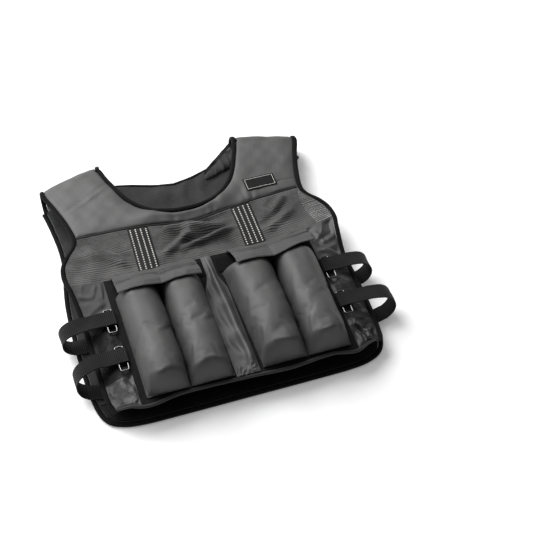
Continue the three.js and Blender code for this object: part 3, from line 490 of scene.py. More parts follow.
def back_neck(share, outwards):
    """The back's neck at the inner side of its tape, from the left end to the right."""
    along = 2 * np.asarray(share, float) - 1
    end = NECK_HALF + BINDING_WIDTH / 2
    lean = along * along * math.pi / 2
    y = seam_behind(end) - YOKE_HEIGHT * back_neck_fall(np.abs(along))
    x = along * end - np.sign(along) * np.sin(lean) * outwards
    return np.stack([x, y + np.cos(lean) * outwards], -1)


def back_top(u, inset):
    """The back's upper edge: shoulder seam, neck and shoulder seam."""
    left, right = back_edge(0.0, inset), back_edge(1.0, inset)
    end = NECK_HALF + BINDING_WIDTH / 2
    x_left = left[0] + (-end - left[0]) * u / SHOULDER_COLUMNS
    x_right = end + (right[0] - end) * (u - 1 + SHOULDER_COLUMNS) / SHOULDER_COLUMNS
    neck = back_neck(np.clip((u - SHOULDER_COLUMNS) / (1 - 2 * SHOULDER_COLUMNS), 0, 1), 0)
    x = np.where(u < SHOULDER_COLUMNS, x_left, np.where(u > 1 - SHOULDER_COLUMNS, x_right, neck[..., 0]))
    on_seam = (u < SHOULDER_COLUMNS) | (u > 1 - SHOULDER_COLUMNS)
    return np.stack([x, np.where(on_seam, seam_behind(x), neck[..., 1] - 2 * GAP)], -1)


def back_region(u, v, inset):
    """A point of the back's plan inside its edges."""
    corner = 1 - CORNER_SHARE
    foot = back_edge(CORNER_SHARE + (corner - CORNER_SHARE) * u, inset)
    head = back_top(u, inset)
    left, right = back_edge(CORNER_SHARE * (1 - v), inset), back_edge(1 - CORNER_SHARE * (1 - v), inset)
    a, b = u[..., None], v[..., None]
    point = foot * (1 - b) + head * b + left * (1 - a) + right * a
    low = back_edge(CORNER_SHARE, inset) * (1 - a) + back_edge(corner, inset) * a
    high = back_top(np.array(0.0), inset) * (1 - a) + back_top(np.array(1.0), inset) * a
    return point - low * (1 - b) - high * b


# The edge of the neck at the front and over the shoulders

FRONT_PART, TURN_PART = 0.65, 0.3
SEAM_PART = 0.4
neck_x, neck_up = np.array(NECK_LINE[0]) * NECK_HALF, NECK_LOW + (FOLD - NECK_LOW) * np.array(NECK_LINE[1])
neck_line, neck_tangent = spline(
    list(zip(-neck_x[:0:-1], neck_up[:0:-1])) + list(zip(neck_x, neck_up))
)


def past_fold(share):
    """How far a place on the yoke's edge lies past the shoulder fold."""
    turned = (share - FRONT_PART) / TURN_PART
    behind = (share - FRONT_PART - TURN_PART) / (1 - FRONT_PART - TURN_PART)
    return np.where(turned <= 1, turned * HALF_TURN, HALF_TURN + YOKE_BEHIND * behind)


def neck_inset(share, distance):
    """The edge of the neck moved into the cloth: share from the middle of the front to behind the fold."""
    t = 0.5 + 0.5 * np.minimum(share / FRONT_PART, 1)
    tangent, point = neck_tangent(t), neck_line(t)
    x = point[..., 0] + tangent[..., 1] * distance
    y = point[..., 1] - tangent[..., 0] * distance
    near_fold = smooth(share, SEAM_PART, FRONT_PART) ** 6
    y = y + near_fold * (shoulder_fold(x) - y)
    x_behind = NECK_HALF - NECK_NARROWS * (share - FRONT_PART) / (1 - FRONT_PART) + distance
    y_behind = shoulder_fold(x_behind) + past_fold(share)
    behind = share > FRONT_PART
    return np.where(behind, x_behind, x), np.where(behind, y_behind, y)


def yoke_outer(share, side):
    """The outer edge of one half of the yoke: along the seam, up the armhole and over the shoulder."""
    x_seam = YOKE_LOW_INSIDE * share / SEAM_PART
    y_seam = yoke_seam(side * x_seam) + SEAM_ROOM
    climbed = np.clip((share - SEAM_PART) / (FRONT_PART - SEAM_PART), 0, 1)
    foot = yoke_seam(side * YOKE_LOW_INSIDE) + SEAM_ROOM
    x_arm, y_arm = beside_edge(foot + (FOLD_OUTSIDE - foot) * climbed, BESIDE_BINDING + GAP / 2)
    x_end = float(front_edge(FOLD_OUTSIDE)) - BESIDE_BINDING - GAP / 2
    y_end = shoulder_fold(x_end) + past_fold(share)
    on_seam, on_arm = share <= SEAM_PART, share <= FRONT_PART
    x = np.where(on_seam, x_seam, np.where(on_arm, x_arm, x_end))
    return x, np.where(on_seam, y_seam, np.where(on_arm, y_arm, y_end))


# Making meshes


def select_only(obj):
    """Leaves one object selected and active."""
    bpy.ops.object.select_all(action="DESELECT")
    obj.select_set(True)
    bpy.context.view_layer.objects.active = obj


def apply_all(obj):
    select_only(obj)
    for modifier in list(obj.modifiers):
        bpy.ops.object.modifier_apply(modifier=modifier.name)


def settle(obj, node, finish, smooth_angle=50):
    """Gives a finished piece its material, shading, body and CAD nodes, with its place in its mesh."""
    select_only(obj)
    bpy.ops.object.transform_apply(location=True, rotation=True, scale=True)
    bpy.ops.object.shade_smooth_by_angle(angle=math.radians(smooth_angle))
    obj.data.materials.clear()
    obj.data.materials.append(finish_of(finish))
    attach(obj, "root")
    if node:
        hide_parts(*([node] if isinstance(node, str) else node))
    return obj


def name_it(name):
    """Names the object that an operator has just added."""
    obj = bpy.context.active_object
    obj.name = "vest_" + name
    obj.data.name = obj.name
    return obj


def grid_of(name):
    """Columns and rows of a piece's grid."""
    return next(grid for start, grid in GRIDS.items() if name.startswith(start))


def surface_normals(points):
    across = np.gradient(points, axis=1)
    along = np.gradient(points, axis=0)
    normal = np.cross(across, along)
    return normal / np.maximum(np.linalg.norm(normal, axis=-1, keepdims=True), 1e-12)


def lengths_along(line):
    """The length from a line's start to each of its points."""
    steps = np.linalg.norm(np.diff(line, axis=0), axis=1)
    return np.concatenate([[0], np.cumsum(steps)])


def lay_grid(name, surface, relief):
    """A grid laid on a surface and given relief along its normal, with the column and row of each vertex.

    The UV map "cloth" holds lengths along the middle row and column, which give the weave its scale.
    """
    columns, rows = grid_of(name)
    bpy.ops.object.select_all(action="DESELECT")
    bpy.ops.mesh.primitive_grid_add(x_subdivisions=columns, y_subdivisions=rows, size=1)
    obj = name_it(name)
    mesh = obj.data
    flat = np.zeros(len(mesh.vertices) * 3)
    mesh.vertices.foreach_get("co", flat)
    flat = flat.reshape(-1, 3) + 0.5
    i = np.rint(flat[:, 0] * columns).astype(int)
    j = np.rint(flat[:, 1] * rows).astype(int)
    u, v = np.meshgrid(np.linspace(0, 1, columns + 1), np.linspace(0, 1, rows + 1))
    points = surface(u, v)
    if relief is not None:
        height = relief(u, v, points[..., 0], points[..., 1])
        points = points + surface_normals(points) * height[..., None]
    placed = points[j, i] - np.array([0, ORIGIN_Y, 0])
    mesh.vertices.foreach_set("co", placed.astype(np.float32).ravel())

    across, along = lengths_along(points[(rows + 1) // 2]), lengths_along(points[:, (columns + 1) // 2])
    corner = np.zeros(len(mesh.loops), int)
    mesh.loops.foreach_get("vertex_index", corner)
    uv = np.stack([across[i[corner]], along[j[corner]]], -1)
    mesh.uv_layers[0].name = "cloth"
    mesh.uv_layers[0].data.foreach_set("uv", uv.astype(np.float32).ravel())
    return obj, i, j


def cloth(name, surface, thickness, padding=None, relief=None):
    """A closed piece of cloth: a grid laid on a surface and given a thickness.

    padding is the share of the thickness at each place, so that a pad thins towards its seams.
    """
    obj, i, j = lay_grid(name, surface, relief)
    solid = obj.modifiers.new("thickness", "SOLIDIFY")
    solid.thickness = thickness
    solid.offset = 0
    if padding is not None:
        columns, rows = grid_of(name)
        group = obj.vertex_groups.new(name="padding")
        weights = np.clip(padding(i / columns, j / rows), 0, 1)
        for index, weight in enumerate(weights):
            group.add([index], float(weight), "REPLACE")
        solid.vertex_group = "padding"
    apply_all(obj)
    obj.vertex_groups.clear()
    obj.data.update()
    return obj


def rounded(u, v):
    """Padding of a tape that is rounded across."""
    return 0.12 + 0.88 * np.sqrt(np.maximum(1 - np.abs(2 * v - 1) ** 2.6, 0))


def rounded_ends(u, v):
    """Padding of a soft pad that thins at all four edges."""
    across = 1 - np.abs(2 * v - 1) ** 8
    along = 1 - np.abs(2 * u - 1) ** 24
    return 0.25 + 0.75 * np.sqrt(np.maximum(across * along, 0))


def tube(name, points, radius, cyclic=False, sides=3):
    """A round cord along points, from a curve with a bevel."""
    curve = bpy.data.curves.new("vest_" + name, "CURVE")
    curve.dimensions = "3D"
    curve.bevel_depth = radius
    curve.bevel_resolution = sides
    curve.use_fill_caps = True
    line = curve.splines.new("POLY")
    line.points.add(len(points) - 1)
    for place, point in zip(line.points, points):
        place.co = (point[0], point[1] - ORIGIN_Y, point[2], 1)
    line.use_cyclic_u = cyclic
    obj = bpy.data.objects.new("vest_" + name, curve)
    bpy.context.scene.collection.objects.link(obj)
    select_only(obj)
    bpy.ops.object.convert(target="MESH")
    return bpy.context.active_object


def stitches(name, lines, up, size, flatness=0.6):
    """Rows of sewn stitches in one mesh, along lines of points on the cloth, which faces up."""
    length, pitch, radius = size
    bpy.ops.object.select_all(action="DESELECT")
    bpy.ops.mesh.primitive_uv_sphere_add(segments=6, ring_count=4, radius=1)
    obj = name_it(name)
    base = np.array([v.co for v in obj.data.vertices])
    faces = [tuple(p.vertices) for p in obj.data.polygons]
    vertices, all_faces = [], []
    for line in lines:
        line = np.array(line, float)
        places = lengths_along(line)

        def point_at(at):
            return np.array([np.interp(at, places, line[:, k]) for k in range(3)])

        count = max(int(places[-1] / pitch), 1)
        for at in (np.arange(count) + 0.5) * places[-1] / count:
            along = point_at(at + TINY) - point_at(at - TINY)
            along /= np.linalg.norm(along)
            side = np.cross(up, along)
            side /= np.linalg.norm(side)
            normal = np.cross(along, side)
            shape = base[:, :1] * along * length / 2 + base[:, 1:2] * side * radius
            shape = shape + base[:, 2:] * normal * radius * flatness + point_at(at)
            offset = len(vertices) * len(base)
            vertices.append(shape)
            all_faces += [tuple(index + offset for index in face) for face in faces]
    points = np.concatenate(vertices) - np.array([0, ORIGIN_Y, 0])
    obj.data.clear_geometry()
    obj.data.from_pydata(points.tolist(), [], all_faces)
    return obj


# Materials


def new_group(name, inputs, outputs):
    """A node group with named inputs and outputs, or None if it is there already."""
    if name in bpy.data.node_groups:
        return None
    group = bpy.data.node_groups.new(name, "ShaderNodeTree")
    for label, kind, value in inputs:
        socket = group.interface.new_socket(name=label, in_out="INPUT", socket_type=kind)
        if value is not None:
            socket.default_value = value
    for label, kind in outputs:
        group.interface.new_socket(name=label, in_out="OUTPUT", socket_type=kind)
    return group


def wire(tree, *pairs):
    for start, end in pairs:
        tree.links.new(start, end)


def math_node(tree, operation, a, b=None, clamp=False):
    """A Math node whose inputs are sockets or numbers."""
    node = tree.nodes.new("ShaderNodeMath")
    node.operation = operation
    node.use_clamp = clamp
    for socket, value in zip(node.inputs, (a, b)):
        if value is None:
            continue
        if isinstance(value, (int, float)):
            socket.default_value = value
        else:
            tree.links.new(value, socket)
    return node.outputs[0]


def weave_group():
    """Threads that cross: height and a mask of the hollows between them."""
    group = new_group(
        "woven_threads",
        [("Vector", "NodeSocketVector", None), ("Pitch U", "NodeSocketFloat", 0.001),
         ("Pitch V", "NodeSocketFloat", 0.001)],
        [("Height", "NodeSocketFloat"), ("Hollow", "NodeSocketFloat"), ("Rib", "NodeSocketFloat"),
         ("Cross Rib", "NodeSocketFloat")],
    )
    if group is None:
        return bpy.data.node_groups["woven_threads"]
    into, out = group.nodes.new("NodeGroupInput"), group.nodes.new("NodeGroupOutput")
    parts = group.nodes.new("ShaderNodeSeparateXYZ")
    wire(group, (into.outputs["Vector"], parts.inputs[0]))
    waves = []
    for axis, pitch in (("X", "Pitch U"), ("Y", "Pitch V")):
        turns = math_node(group, "DIVIDE", parts.outputs[axis], into.outputs[pitch])
        angle = math_node(group, "MULTIPLY", turns, 2 * math.pi)
        waves.append(math_node(group, "SINE", angle))
    height = math_node(group, "MULTIPLY", waves[0], waves[1])
    hollow = math_node(group, "MINIMUM", waves[0], waves[1])
    wire(group, (height, out.inputs["Height"]), (hollow, out.inputs["Hollow"]))
    wire(group, (waves[1], out.inputs["Rib"]), (waves[0], out.inputs["Cross Rib"]))
    return group


def shade_group():
    """A colour that varies a little over the cloth, and the uneven height of its handling."""
    group = new_group(
        "handled_cloth",
        [("Vector", "NodeSocketVector", None), ("Colour", "NodeSocketColor", (0.1, 0.1, 0.1, 1)),
         ("Size", "NodeSocketFloat", 0.05), ("Amount", "NodeSocketFloat", 0.2)],
        [("Colour", "NodeSocketColor"), ("Height", "NodeSocketFloat")],
    )
    if group is None:
        return bpy.data.node_groups["handled_cloth"]
    into, out = group.nodes.new("NodeGroupInput"), group.nodes.new("NodeGroupOutput")
    scale = math_node(group, "DIVIDE", 1.0, into.outputs["Size"])
    noise = group.nodes.new("ShaderNodeTexNoise")
    noise.inputs["Detail"].default_value = 5
    noise.inputs["Roughness"].default_value = 0.6
    wire(group, (into.outputs["Vector"], noise.inputs["Vector"]), (scale, noise.inputs["Scale"]))
    centred = math_node(group, "SUBTRACT", noise.outputs["Fac"], 0.5)
    swing = math_node(group, "MULTIPLY", centred, into.outputs["Amount"])
    factor = math_node(group, "ADD", math_node(group, "MULTIPLY", swing, 2.0), 1.0)
    tint = group.nodes.new("ShaderNodeVectorMath")
    tint.operation = "SCALE"
    wire(group, (into.outputs["Colour"], tint.inputs[0]), (factor, tint.inputs["Scale"]))
    wire(group, (tint.outputs[0], out.inputs["Colour"]), (noise.outputs["Fac"], out.inputs["Height"]))
    return group


# Cloths: colour property, roughness, specular level, sheen, the weave's two pitches and its depth,
# contrast of the ribs, unevenness of the shade, depth of the crinkles
CLOTHS = {
    "nylon": ("nylon", 0.50, 0.40, 0.03, 0.0011, 0.0015, 0.00005, 0.03, 0.06, 0.0007),
    "dull_nylon": ("nylon", 0.55, 0.20, 0.03, 0.0011, 0.0015, 0.00005, 0.06, 0.3, 0.0030),
    # The next finish is the nylon made darker: painted shade on the upper wing at the left.
    "left_shade_nylon": ("side", 0.55, 0.20, 0.03, 0.0011, 0.0015, 0.00005, 0.06, 0.3, 0.0020),
    # The next finish gives the front panel's nylon near-black: painted shade between and beside the
    # pockets.
    "shaded_nylon": ("deep", 0.6, 0.08, 0.0, 0.0011, 0.0015, 0.00005, 0.06, 0.3, 0.0030),
    # The next finish gives the left inset near-black, darker than the right one: painted shade.
    "deep": ("deep", 0.40, 0.08, 0.0, 0.0012, 0.0012, 0.00003, 0.0, 0.5, 0.0040),
    "coated": ("coated", 0.40, 0.34, 0.0, 0.0012, 0.0012, 0.00003, 0.0, 0.7, 0.0050),
    "lining": ("lining", 0.7, 0.15, 0.05, 0.0016, 0.0020, 0.0001, 0.15, 0.5, 0.0030),
    "black_cloth": ("black_cloth", 0.6, 0.15, 0.0, 0.0014, 0.0014, 0.0001, 0.2, 0.3, 0.0006),
    "binding": ("binding", 0.65, 0.05, 0.02, 0.0027, 0.0030, 0.0002, 0.5, 0.6, 0.0010),
    "webbing": ("webbing", 0.6, 0.14, 0.02, 0.0027, 0.0030, 0.0005, 0.8, 0.5, 0.0008),
    # The next finish makes the hem's tape lighter than the other bindings: a painted highlight along the
    # front hem.
    "hem": ("hem", 0.55, 0.25, 0.05, 0.0030, 0.0030, 0.0002, 0.3, 0.4, 0.0006),
    "tape": ("tape", 0.75, 0.1, 0.0, 0.0030, 0.0030, 0.0002, 0.4, 0.2, 0.0002),
    "patch": ("label", 0.6, 0.15, 0.0, 0.0009, 0.0012, 0.0001, 0.2, 0.1, 0.0001),
    "mesh": ("mesh", 0.50, 0.42, 0.05, 0.0018, 0.0034, 0.0003, 0.75, 1.2, 0.0060),
}
RIBS_RUN_ACROSS = ("binding", "webbing", "hem")
SHEEN_ROUGHNESS = 0.45
CLOTH_SHADE_SIZE = 0.035

# Plain finishes: colour property, roughness, metallic
PLAIN_FINISHES = {
    "steel": ("steel", 0.2, 1.0),
    "thread": ("thread", 0.6, 0.0),
    "pale_thread": ("pale_thread", 0.6, 0.0),
    "cord": ("black_cloth", 0.6, 0.0),
    "reflective": ("reflective", 0.45, 0.0),
    "hook": ("black_cloth", 0.9, 0.0),
}
PLAIN_SHADE_SIZE = 0.01
PLAIN_SHADE = 0.1
PLAIN_UNEVEN = 0.2

# The mesh is closed where its ribs are higher than this, and where its bars are lower
RIB_EDGE = 0.12
BAR_EDGE = -0.9

HOOK_SCALE = 900
HOOK_HEIGHT = 0.0012
HOOK_SPECULAR = 0.05


def add_node_group(tree, group):
    node = tree.nodes.new("ShaderNodeGroup")
    node.node_tree = group
    return node


def woven(name, colour, roughness, specular, sheen, pitch_u, pitch_v, depth, contrast, amount, crinkle):
    """A cloth with crossed threads, uneven shade and a little crinkle."""
    material = bpy.data.materials.new("vest_" + name)
    material.use_nodes = True
    tree = material.node_tree
    shader = tree.nodes["Principled BSDF"]
    shader.inputs["Roughness"].default_value = roughness
    shader.inputs["Specular IOR Level"].default_value = specular
    shader.inputs["Sheen Weight"].default_value = sheen
    shader.inputs["Sheen Roughness"].default_value = SHEEN_ROUGHNESS
    uv = tree.nodes.new("ShaderNodeUVMap")
    uv.uv_map = "cloth"
    place = tree.nodes.new("ShaderNodeTexCoord")
    threads = add_node_group(tree, weave_group())
    threads.inputs["Pitch U"].default_value = pitch_u
    threads.inputs["Pitch V"].default_value = pitch_v
    handled = add_node_group(tree, shade_group())
    handled.inputs["Colour"].default_value = (*colour, 1)
    handled.inputs["Size"].default_value = CLOTH_SHADE_SIZE
    handled.inputs["Amount"].default_value = amount
    soft = tree.nodes.new("ShaderNodeBump")
    soft.inputs["Distance"].default_value = crinkle
    soft.inputs["Strength"].default_value = 1.0
    fine = tree.nodes.new("ShaderNodeBump")
    fine.inputs["Distance"].default_value = depth
    fine.inputs["Strength"].default_value = 1.0
    rib = threads.outputs["Cross Rib" if name in RIBS_RUN_ACROSS else "Rib"]
    ribs = math_node(tree, "ADD", math_node(tree, "MULTIPLY", rib, contrast), 1.0)
    ribbed = tree.nodes.new("ShaderNodeVectorMath")
    ribbed.operation = "SCALE"
    wire(
        tree,
        (uv.outputs["UV"], threads.inputs["Vector"]),
        (place.outputs["Object"], handled.inputs["Vector"]),
        (handled.outputs["Height"], soft.inputs["Height"]),
        (threads.outputs["Height"], fine.inputs["Height"]),
        (soft.outputs["Normal"], fine.inputs["Normal"]),
        (fine.outputs["Normal"], shader.inputs["Normal"]),
        (handled.outputs["Colour"], ribbed.inputs[0]),
        (ribs, ribbed.inputs["Scale"]),
        (ribbed.outputs[0], shader.inputs["Base Color"]),
    )
    return material


def mesh_fabric(material):
    """Ribbed net: rows of ribs with open holes between them, which let what is behind show through."""
    tree = material.node_tree
    shader = tree.nodes["Principled BSDF"]
    threads = next(n for n in tree.nodes if n.type == "GROUP" and n.node_tree.name == "woven_threads")
    closed = math_node(tree, "GREATER_THAN", threads.outputs["Rib"], RIB_EDGE)
    bars = math_node(tree, "LESS_THAN", threads.outputs["Hollow"], BAR_EDGE)
    alpha = math_node(tree, "MAXIMUM", closed, bars)
    wire(tree, (alpha, shader.inputs["Alpha"]))
    return material


def plain_finish(name, colour, roughness, metallic):
    """A finish without a weave, for steel, thread, cord and hooks."""
    material = bpy.data.materials.new("vest_" + name)
    material.use_nodes = True
    tree = material.node_tree
    shader = tree.nodes["Principled BSDF"]
    shader.inputs["Metallic"].default_value = metallic
    handled = add_node_group(tree, shade_group())
    handled.inputs["Colour"].default_value = (*colour, 1)
    handled.inputs["Size"].default_value = PLAIN_SHADE_SIZE
    handled.inputs["Amount"].default_value = PLAIN_SHADE
    place = tree.nodes.new("ShaderNodeTexCoord")
    uneven = math_node(tree, "MULTIPLY", handled.outputs["Height"], PLAIN_UNEVEN)
    wire(
        tree,
        (place.outputs["Object"], handled.inputs["Vector"]),
        (handled.outputs["Colour"], shader.inputs["Base Color"]),
        (math_node(tree, "ADD", uneven, roughness - PLAIN_UNEVEN / 2), shader.inputs["Roughness"]),
    )
    return material


def hook_fabric(material):
    """Short dense hooks, seen as a rough dark nap."""
    tree = material.node_tree
    noise = tree.nodes.new("ShaderNodeTexNoise")
    noise.inputs["Scale"].default_value = HOOK_SCALE
    tree.nodes["Principled BSDF"].inputs["Specular IOR Level"].default_value = HOOK_SPECULAR
    bump = tree.nodes.new("ShaderNodeBump")
    bump.inputs["Distance"].default_value = HOOK_HEIGHT
    place = next(n for n in tree.nodes if n.type == "TEX_COORD")
    wire(
        tree,
        (place.outputs["Object"], noise.inputs["Vector"]),
        (noise.outputs["Fac"], bump.inputs["Height"]),
        (bump.outputs["Normal"], tree.nodes["Principled BSDF"].inputs["Normal"]),
    )
    return material


def finish_of(name):
    """The material of a finish, made when it is first needed."""
    if "vest_" + name in bpy.data.materials:
        return bpy.data.materials["vest_" + name]
    colours = bpy.context.scene.vest_colours
    if name in PLAIN_FINISHES:
        colour, *rest = PLAIN_FINISHES[name]
        material = plain_finish(name, getattr(colours, colour), *rest)
        return hook_fabric(material) if name == "hook" else material
    colour, *rest = CLOTHS[name]
    material = woven(name, getattr(colours, colour), *rest)
    return mesh_fabric(material) if name == "mesh" else material


# Properties


def colour_of(label, text, value):
    return FloatVectorProperty(name=label, description=text, default=value, subtype="COLOR", min=0, max=1)


def length_of(label, text, value, low=0.0, high=0.5):
    return FloatProperty(name=label, description=text, default=value, min=low, max=high, unit="LENGTH")


class VestSizes(bpy.types.PropertyGroup):
    """Sizes that shape the soft parts."""

    pocket_height: length_of("Pocket height", "Height of a full pocket", 0.042)
    pocket_foot: length_of("Pocket foot", "Length over which the foot of a pocket rises", 0.013)
    pocket_head: length_of("Pocket head", "Length over which the head slopes down under the flap", 0.026)
    yoke_pad: length_of("Yoke pad", "Thickness of the yoke at its middle", 0.0065)
    flap_lift: length_of("Flap lift", "Air between a flap and its pockets", 0.0014)
    stitch: length_of("Stitch", "Length of a sewn stitch", 0.0026)
    stitch_pitch: length_of("Stitch pitch", "Length from one stitch to the next", 0.0036)
    label_width: length_of("Label width", "Width of the label patch", 0.050)
    label_height: length_of("Label height", "Height of the label patch", 0.026)
    sim_limit: length_of("Pocket swell", "Most that a pocket's cloth may move in its simulation", 0.003)


class VestColours(bpy.types.PropertyGroup):
    """Colours of the finishes."""

    nylon: colour_of("Nylon", "Charcoal nylon", (0.0560, 0.0555, 0.0550))
    # Painted shade: the nylon made darker for the upper wing on the left, where it lies in shade.
    side: colour_of("Side nylon", "Darker nylon high on the left side", (0.037, 0.037, 0.037))
    mesh: colour_of("Mesh", "Ribbed chest mesh", (0.074, 0.073, 0.072))
    lining: colour_of("Lining", "Cloth inside the back", (0.026, 0.026, 0.026))
    black_cloth: colour_of("Black cloth", "Insets, facing and piping", (0.0080, 0.0080, 0.0080))
    binding: colour_of("Binding", "Tape on the edges", (0.0060, 0.0059, 0.0058))
    webbing: colour_of("Webbing", "Side straps", (0.013, 0.013, 0.013))
    tape: colour_of("Tape ground", "Ground of the reflective tapes", (0.020, 0.020, 0.020))
    label: colour_of("Label", "Label patch", (0.004, 0.004, 0.004))
    coated: colour_of("Coated cloth", "Shiny coated side of the nylon", (0.015, 0.015, 0.015))
    thread: colour_of("Thread", "Sewing thread", (0.006, 0.006, 0.006))
    pale_thread: colour_of("Pale thread", "Thread of the strip's head", (0.22, 0.22, 0.22))
    reflective: colour_of("Reflective thread", "Pale dashes of the tapes", (0.75, 0.74, 0.70))
    # Painted shade: near-black that stands for the shade on the front panel behind the pockets and on the
    # left inset between the straps.
    deep: colour_of("Deep cloth", "Black insets at the sides", (0.003, 0.003, 0.003))
    # Painted highlight: the hem's tape is lighter than the other bindings, for the sheen along the front
    # hem.
    hem: colour_of("Hem tape", "Tape on the front hem", (0.022, 0.022, 0.022))
    steel: colour_of("Steel", "Rings", (0.15, 0.15, 0.15))


# Heights of the pockets


def pocket_sides(pocket, y):
    """The X of a pocket's left and right side at a height of the pattern."""
    _, foot, head, _ = pocket
    up = (y - POCKET_FOOT) / POCKET_LENGTH
    left = (foot[0] + (head[0] - foot[0]) * up) * POCKET_WIDTH
    right = (foot[1] + (head[1] - foot[1]) * up) * POCKET_WIDTH - GAP
    return left, right


def pocket_section(across, fullness=3.2):
    """Height across a pocket, from 0 at its seams to 1 at its middle."""
    return np.sqrt(np.maximum(1 - np.abs(across) ** fullness, 0))


def pocket_profile(y, sizes, pinch=0.0):
    """Height along a pocket: a steep foot with a crisp edge, and a head that slopes down under the flap."""
    from_foot = np.clip((y - POCKET_FOOT) / (sizes.pocket_foot + pinch), 0, 1)
    from_head = np.clip((POCKET_FOOT + POCKET_LENGTH - y) / sizes.pocket_head, 0, 1)
    foot = (1 - (1 - from_foot) ** 1.7) ** 0.75
    head = np.sqrt(1 - (1 - from_head) ** 2)
    return foot * head


def pocket_rise(x, y, sizes):
    """Height of the pockets above the panel at a place, or 0 beside them."""
    rise = np.zeros_like(x)
    inside = (y >= POCKET_FOOT) & (y <= POCKET_FOOT + POCKET_LENGTH)
    for pocket in POCKETS:
        left, right = pocket_sides(pocket, y)
        across = 2 * (x - left) / (right - left) - 1
        height = sizes.pocket_height * pocket[3] * pocket_section(across) * pocket_profile(y, sizes)
        rise = np.maximum(rise, np.where(inside & (np.abs(across) < 1), height, 0))
    return rise


def flap_rise(x, y, seam_y, sizes):
    """Height of a flap above the panel: it bridges the valleys and runs straight up from its seam."""
    bridge, droop = 0.020, 0.22
    shoulder = POCKET_FOOT + POCKET_LENGTH - sizes.pocket_head
    rise = np.zeros_like(x)
    crown = np.zeros_like(x)
    for across in np.linspace(-bridge, bridge, 11):
        lower = abs(across) * droop
        crown = np.maximum(crown, pocket_rise(x + across, np.full_like(x, shoulder), sizes) - lower)
        for along in (-0.008, 0.0, 0.004):
            rise = np.maximum(rise, pocket_rise(x + across, y + along, sizes) - lower)
    climbed = np.clip((seam_y - y) / (seam_y - shoulder), 0, 1)
    rise = np.maximum(rise, crown * np.sin(climbed * math.pi / 2))
    return rise + sizes.flap_lift * np.minimum(1, 4 * climbed)


# Operators, one for each piece or group of like pieces


class VestOperator:
    """What the operators share."""

    bl_options = {"REGISTER", "UNDO"}

    def execute(self, context):
        self.build(context.scene.vest_sizes)
        return {"FINISHED"}


class VEST_OT_back(VestOperator, bpy.types.Operator):
    """Adds the back: nylon pad, lining, black facing and the tapes round them"""

    bl_idname = "vest.back"
    bl_label = "Back"

    def build(self, sizes):
        def level(height, inset, low=0.0, high=1.0):
            def surface(u, v):
                plan = back_region(u, low + (high - low) * v, inset)
                return np.concatenate([plan, np.full((*u.shape, 1), height)], -1)
            return surface

        pad = cloth("back_panel", level(BACK_THICK / 2, BESIDE_BINDING), BACK_THICK, rounded_ends)
        settle(pad, "back_panel", "nylon")

        overlap = 0.0004
        facing_height = BACK_THICK + GAP + LINING_THICK / 2
        lining_height = facing_height + overlap
        inset = BESIDE_BINDING + GAP
        seam = 0.002

        def lining_relief(u, v, x, y):
            gathers = 0.0014 * np.sin(x / 0.011 + 3 * ripple(x, y, 0.12, 3)) * smooth(y, 0.32, 0.40)
            return np.maximum(gathers + 0.0012 * ripple(x, y, 0.05, 5), -0.0005)

        facing = cloth("back_facing", level(facing_height, inset, 0.0, FACING_SHARE - seam), LINING_THICK)
        settle(facing, "back_facing", "black_cloth")
        lining = cloth(
            "back_lining", level(lining_height, inset, FACING_SHARE + seam, 0.997),
            LINING_THICK, relief=lining_relief,
        )
        settle(lining, "back_lining", "lining")

        for name, edge in (("back_binding", back_edge), ("back_neck_binding", back_neck)):
            def tape(u, v):
                plan = edge(u, v * BINDING_WIDTH)
                return np.concatenate([plan, np.full((*u.shape, 1), BACK_BINDING_THICK / 2)], -1)

            settle(cloth(name, tape, BACK_BINDING_THICK, rounded), name, "binding")
        self.folded_corner()

    @staticmethod
    def folded_corner():
        """The corner of the back beside the right shoulder, which has folded over on itself, and its
        painted shade.
        """
        left, foot, base = 0.050, 0.421, 0.0095
        width, slope = 0.056, 0.018

        def fold(u, v):
            y = foot + slope * u + (0.006 + 0.022 * u) * v
            lift = np.sqrt(v) * (0.004 + 0.012 * u)
            return np.stack([left + width * u, y, base + lift], -1)

        # The shade piece is a black copy of the fold set behind it: painted shade that the fold casts on
        # the back.
        def shade(u, v):
            beside, behind = 0.002, 0.010
            return fold(u, v) + np.stack([np.full_like(u, beside), np.full_like(u, behind), 0.001 * u], -1)

        def relief(u, v, x, y):
            return 0.0016 * crumple(x, y, 0.020, 81) * smooth(u, 0, 0.2)

        piece = cloth("folded_corner", fold, LINING_THICK, relief=relief)
        settle(piece, None, "dull_nylon")
        piece = cloth("folded_corner_shade", shade, LINING_THICK, relief=relief)
        settle(piece, None, "black_cloth")


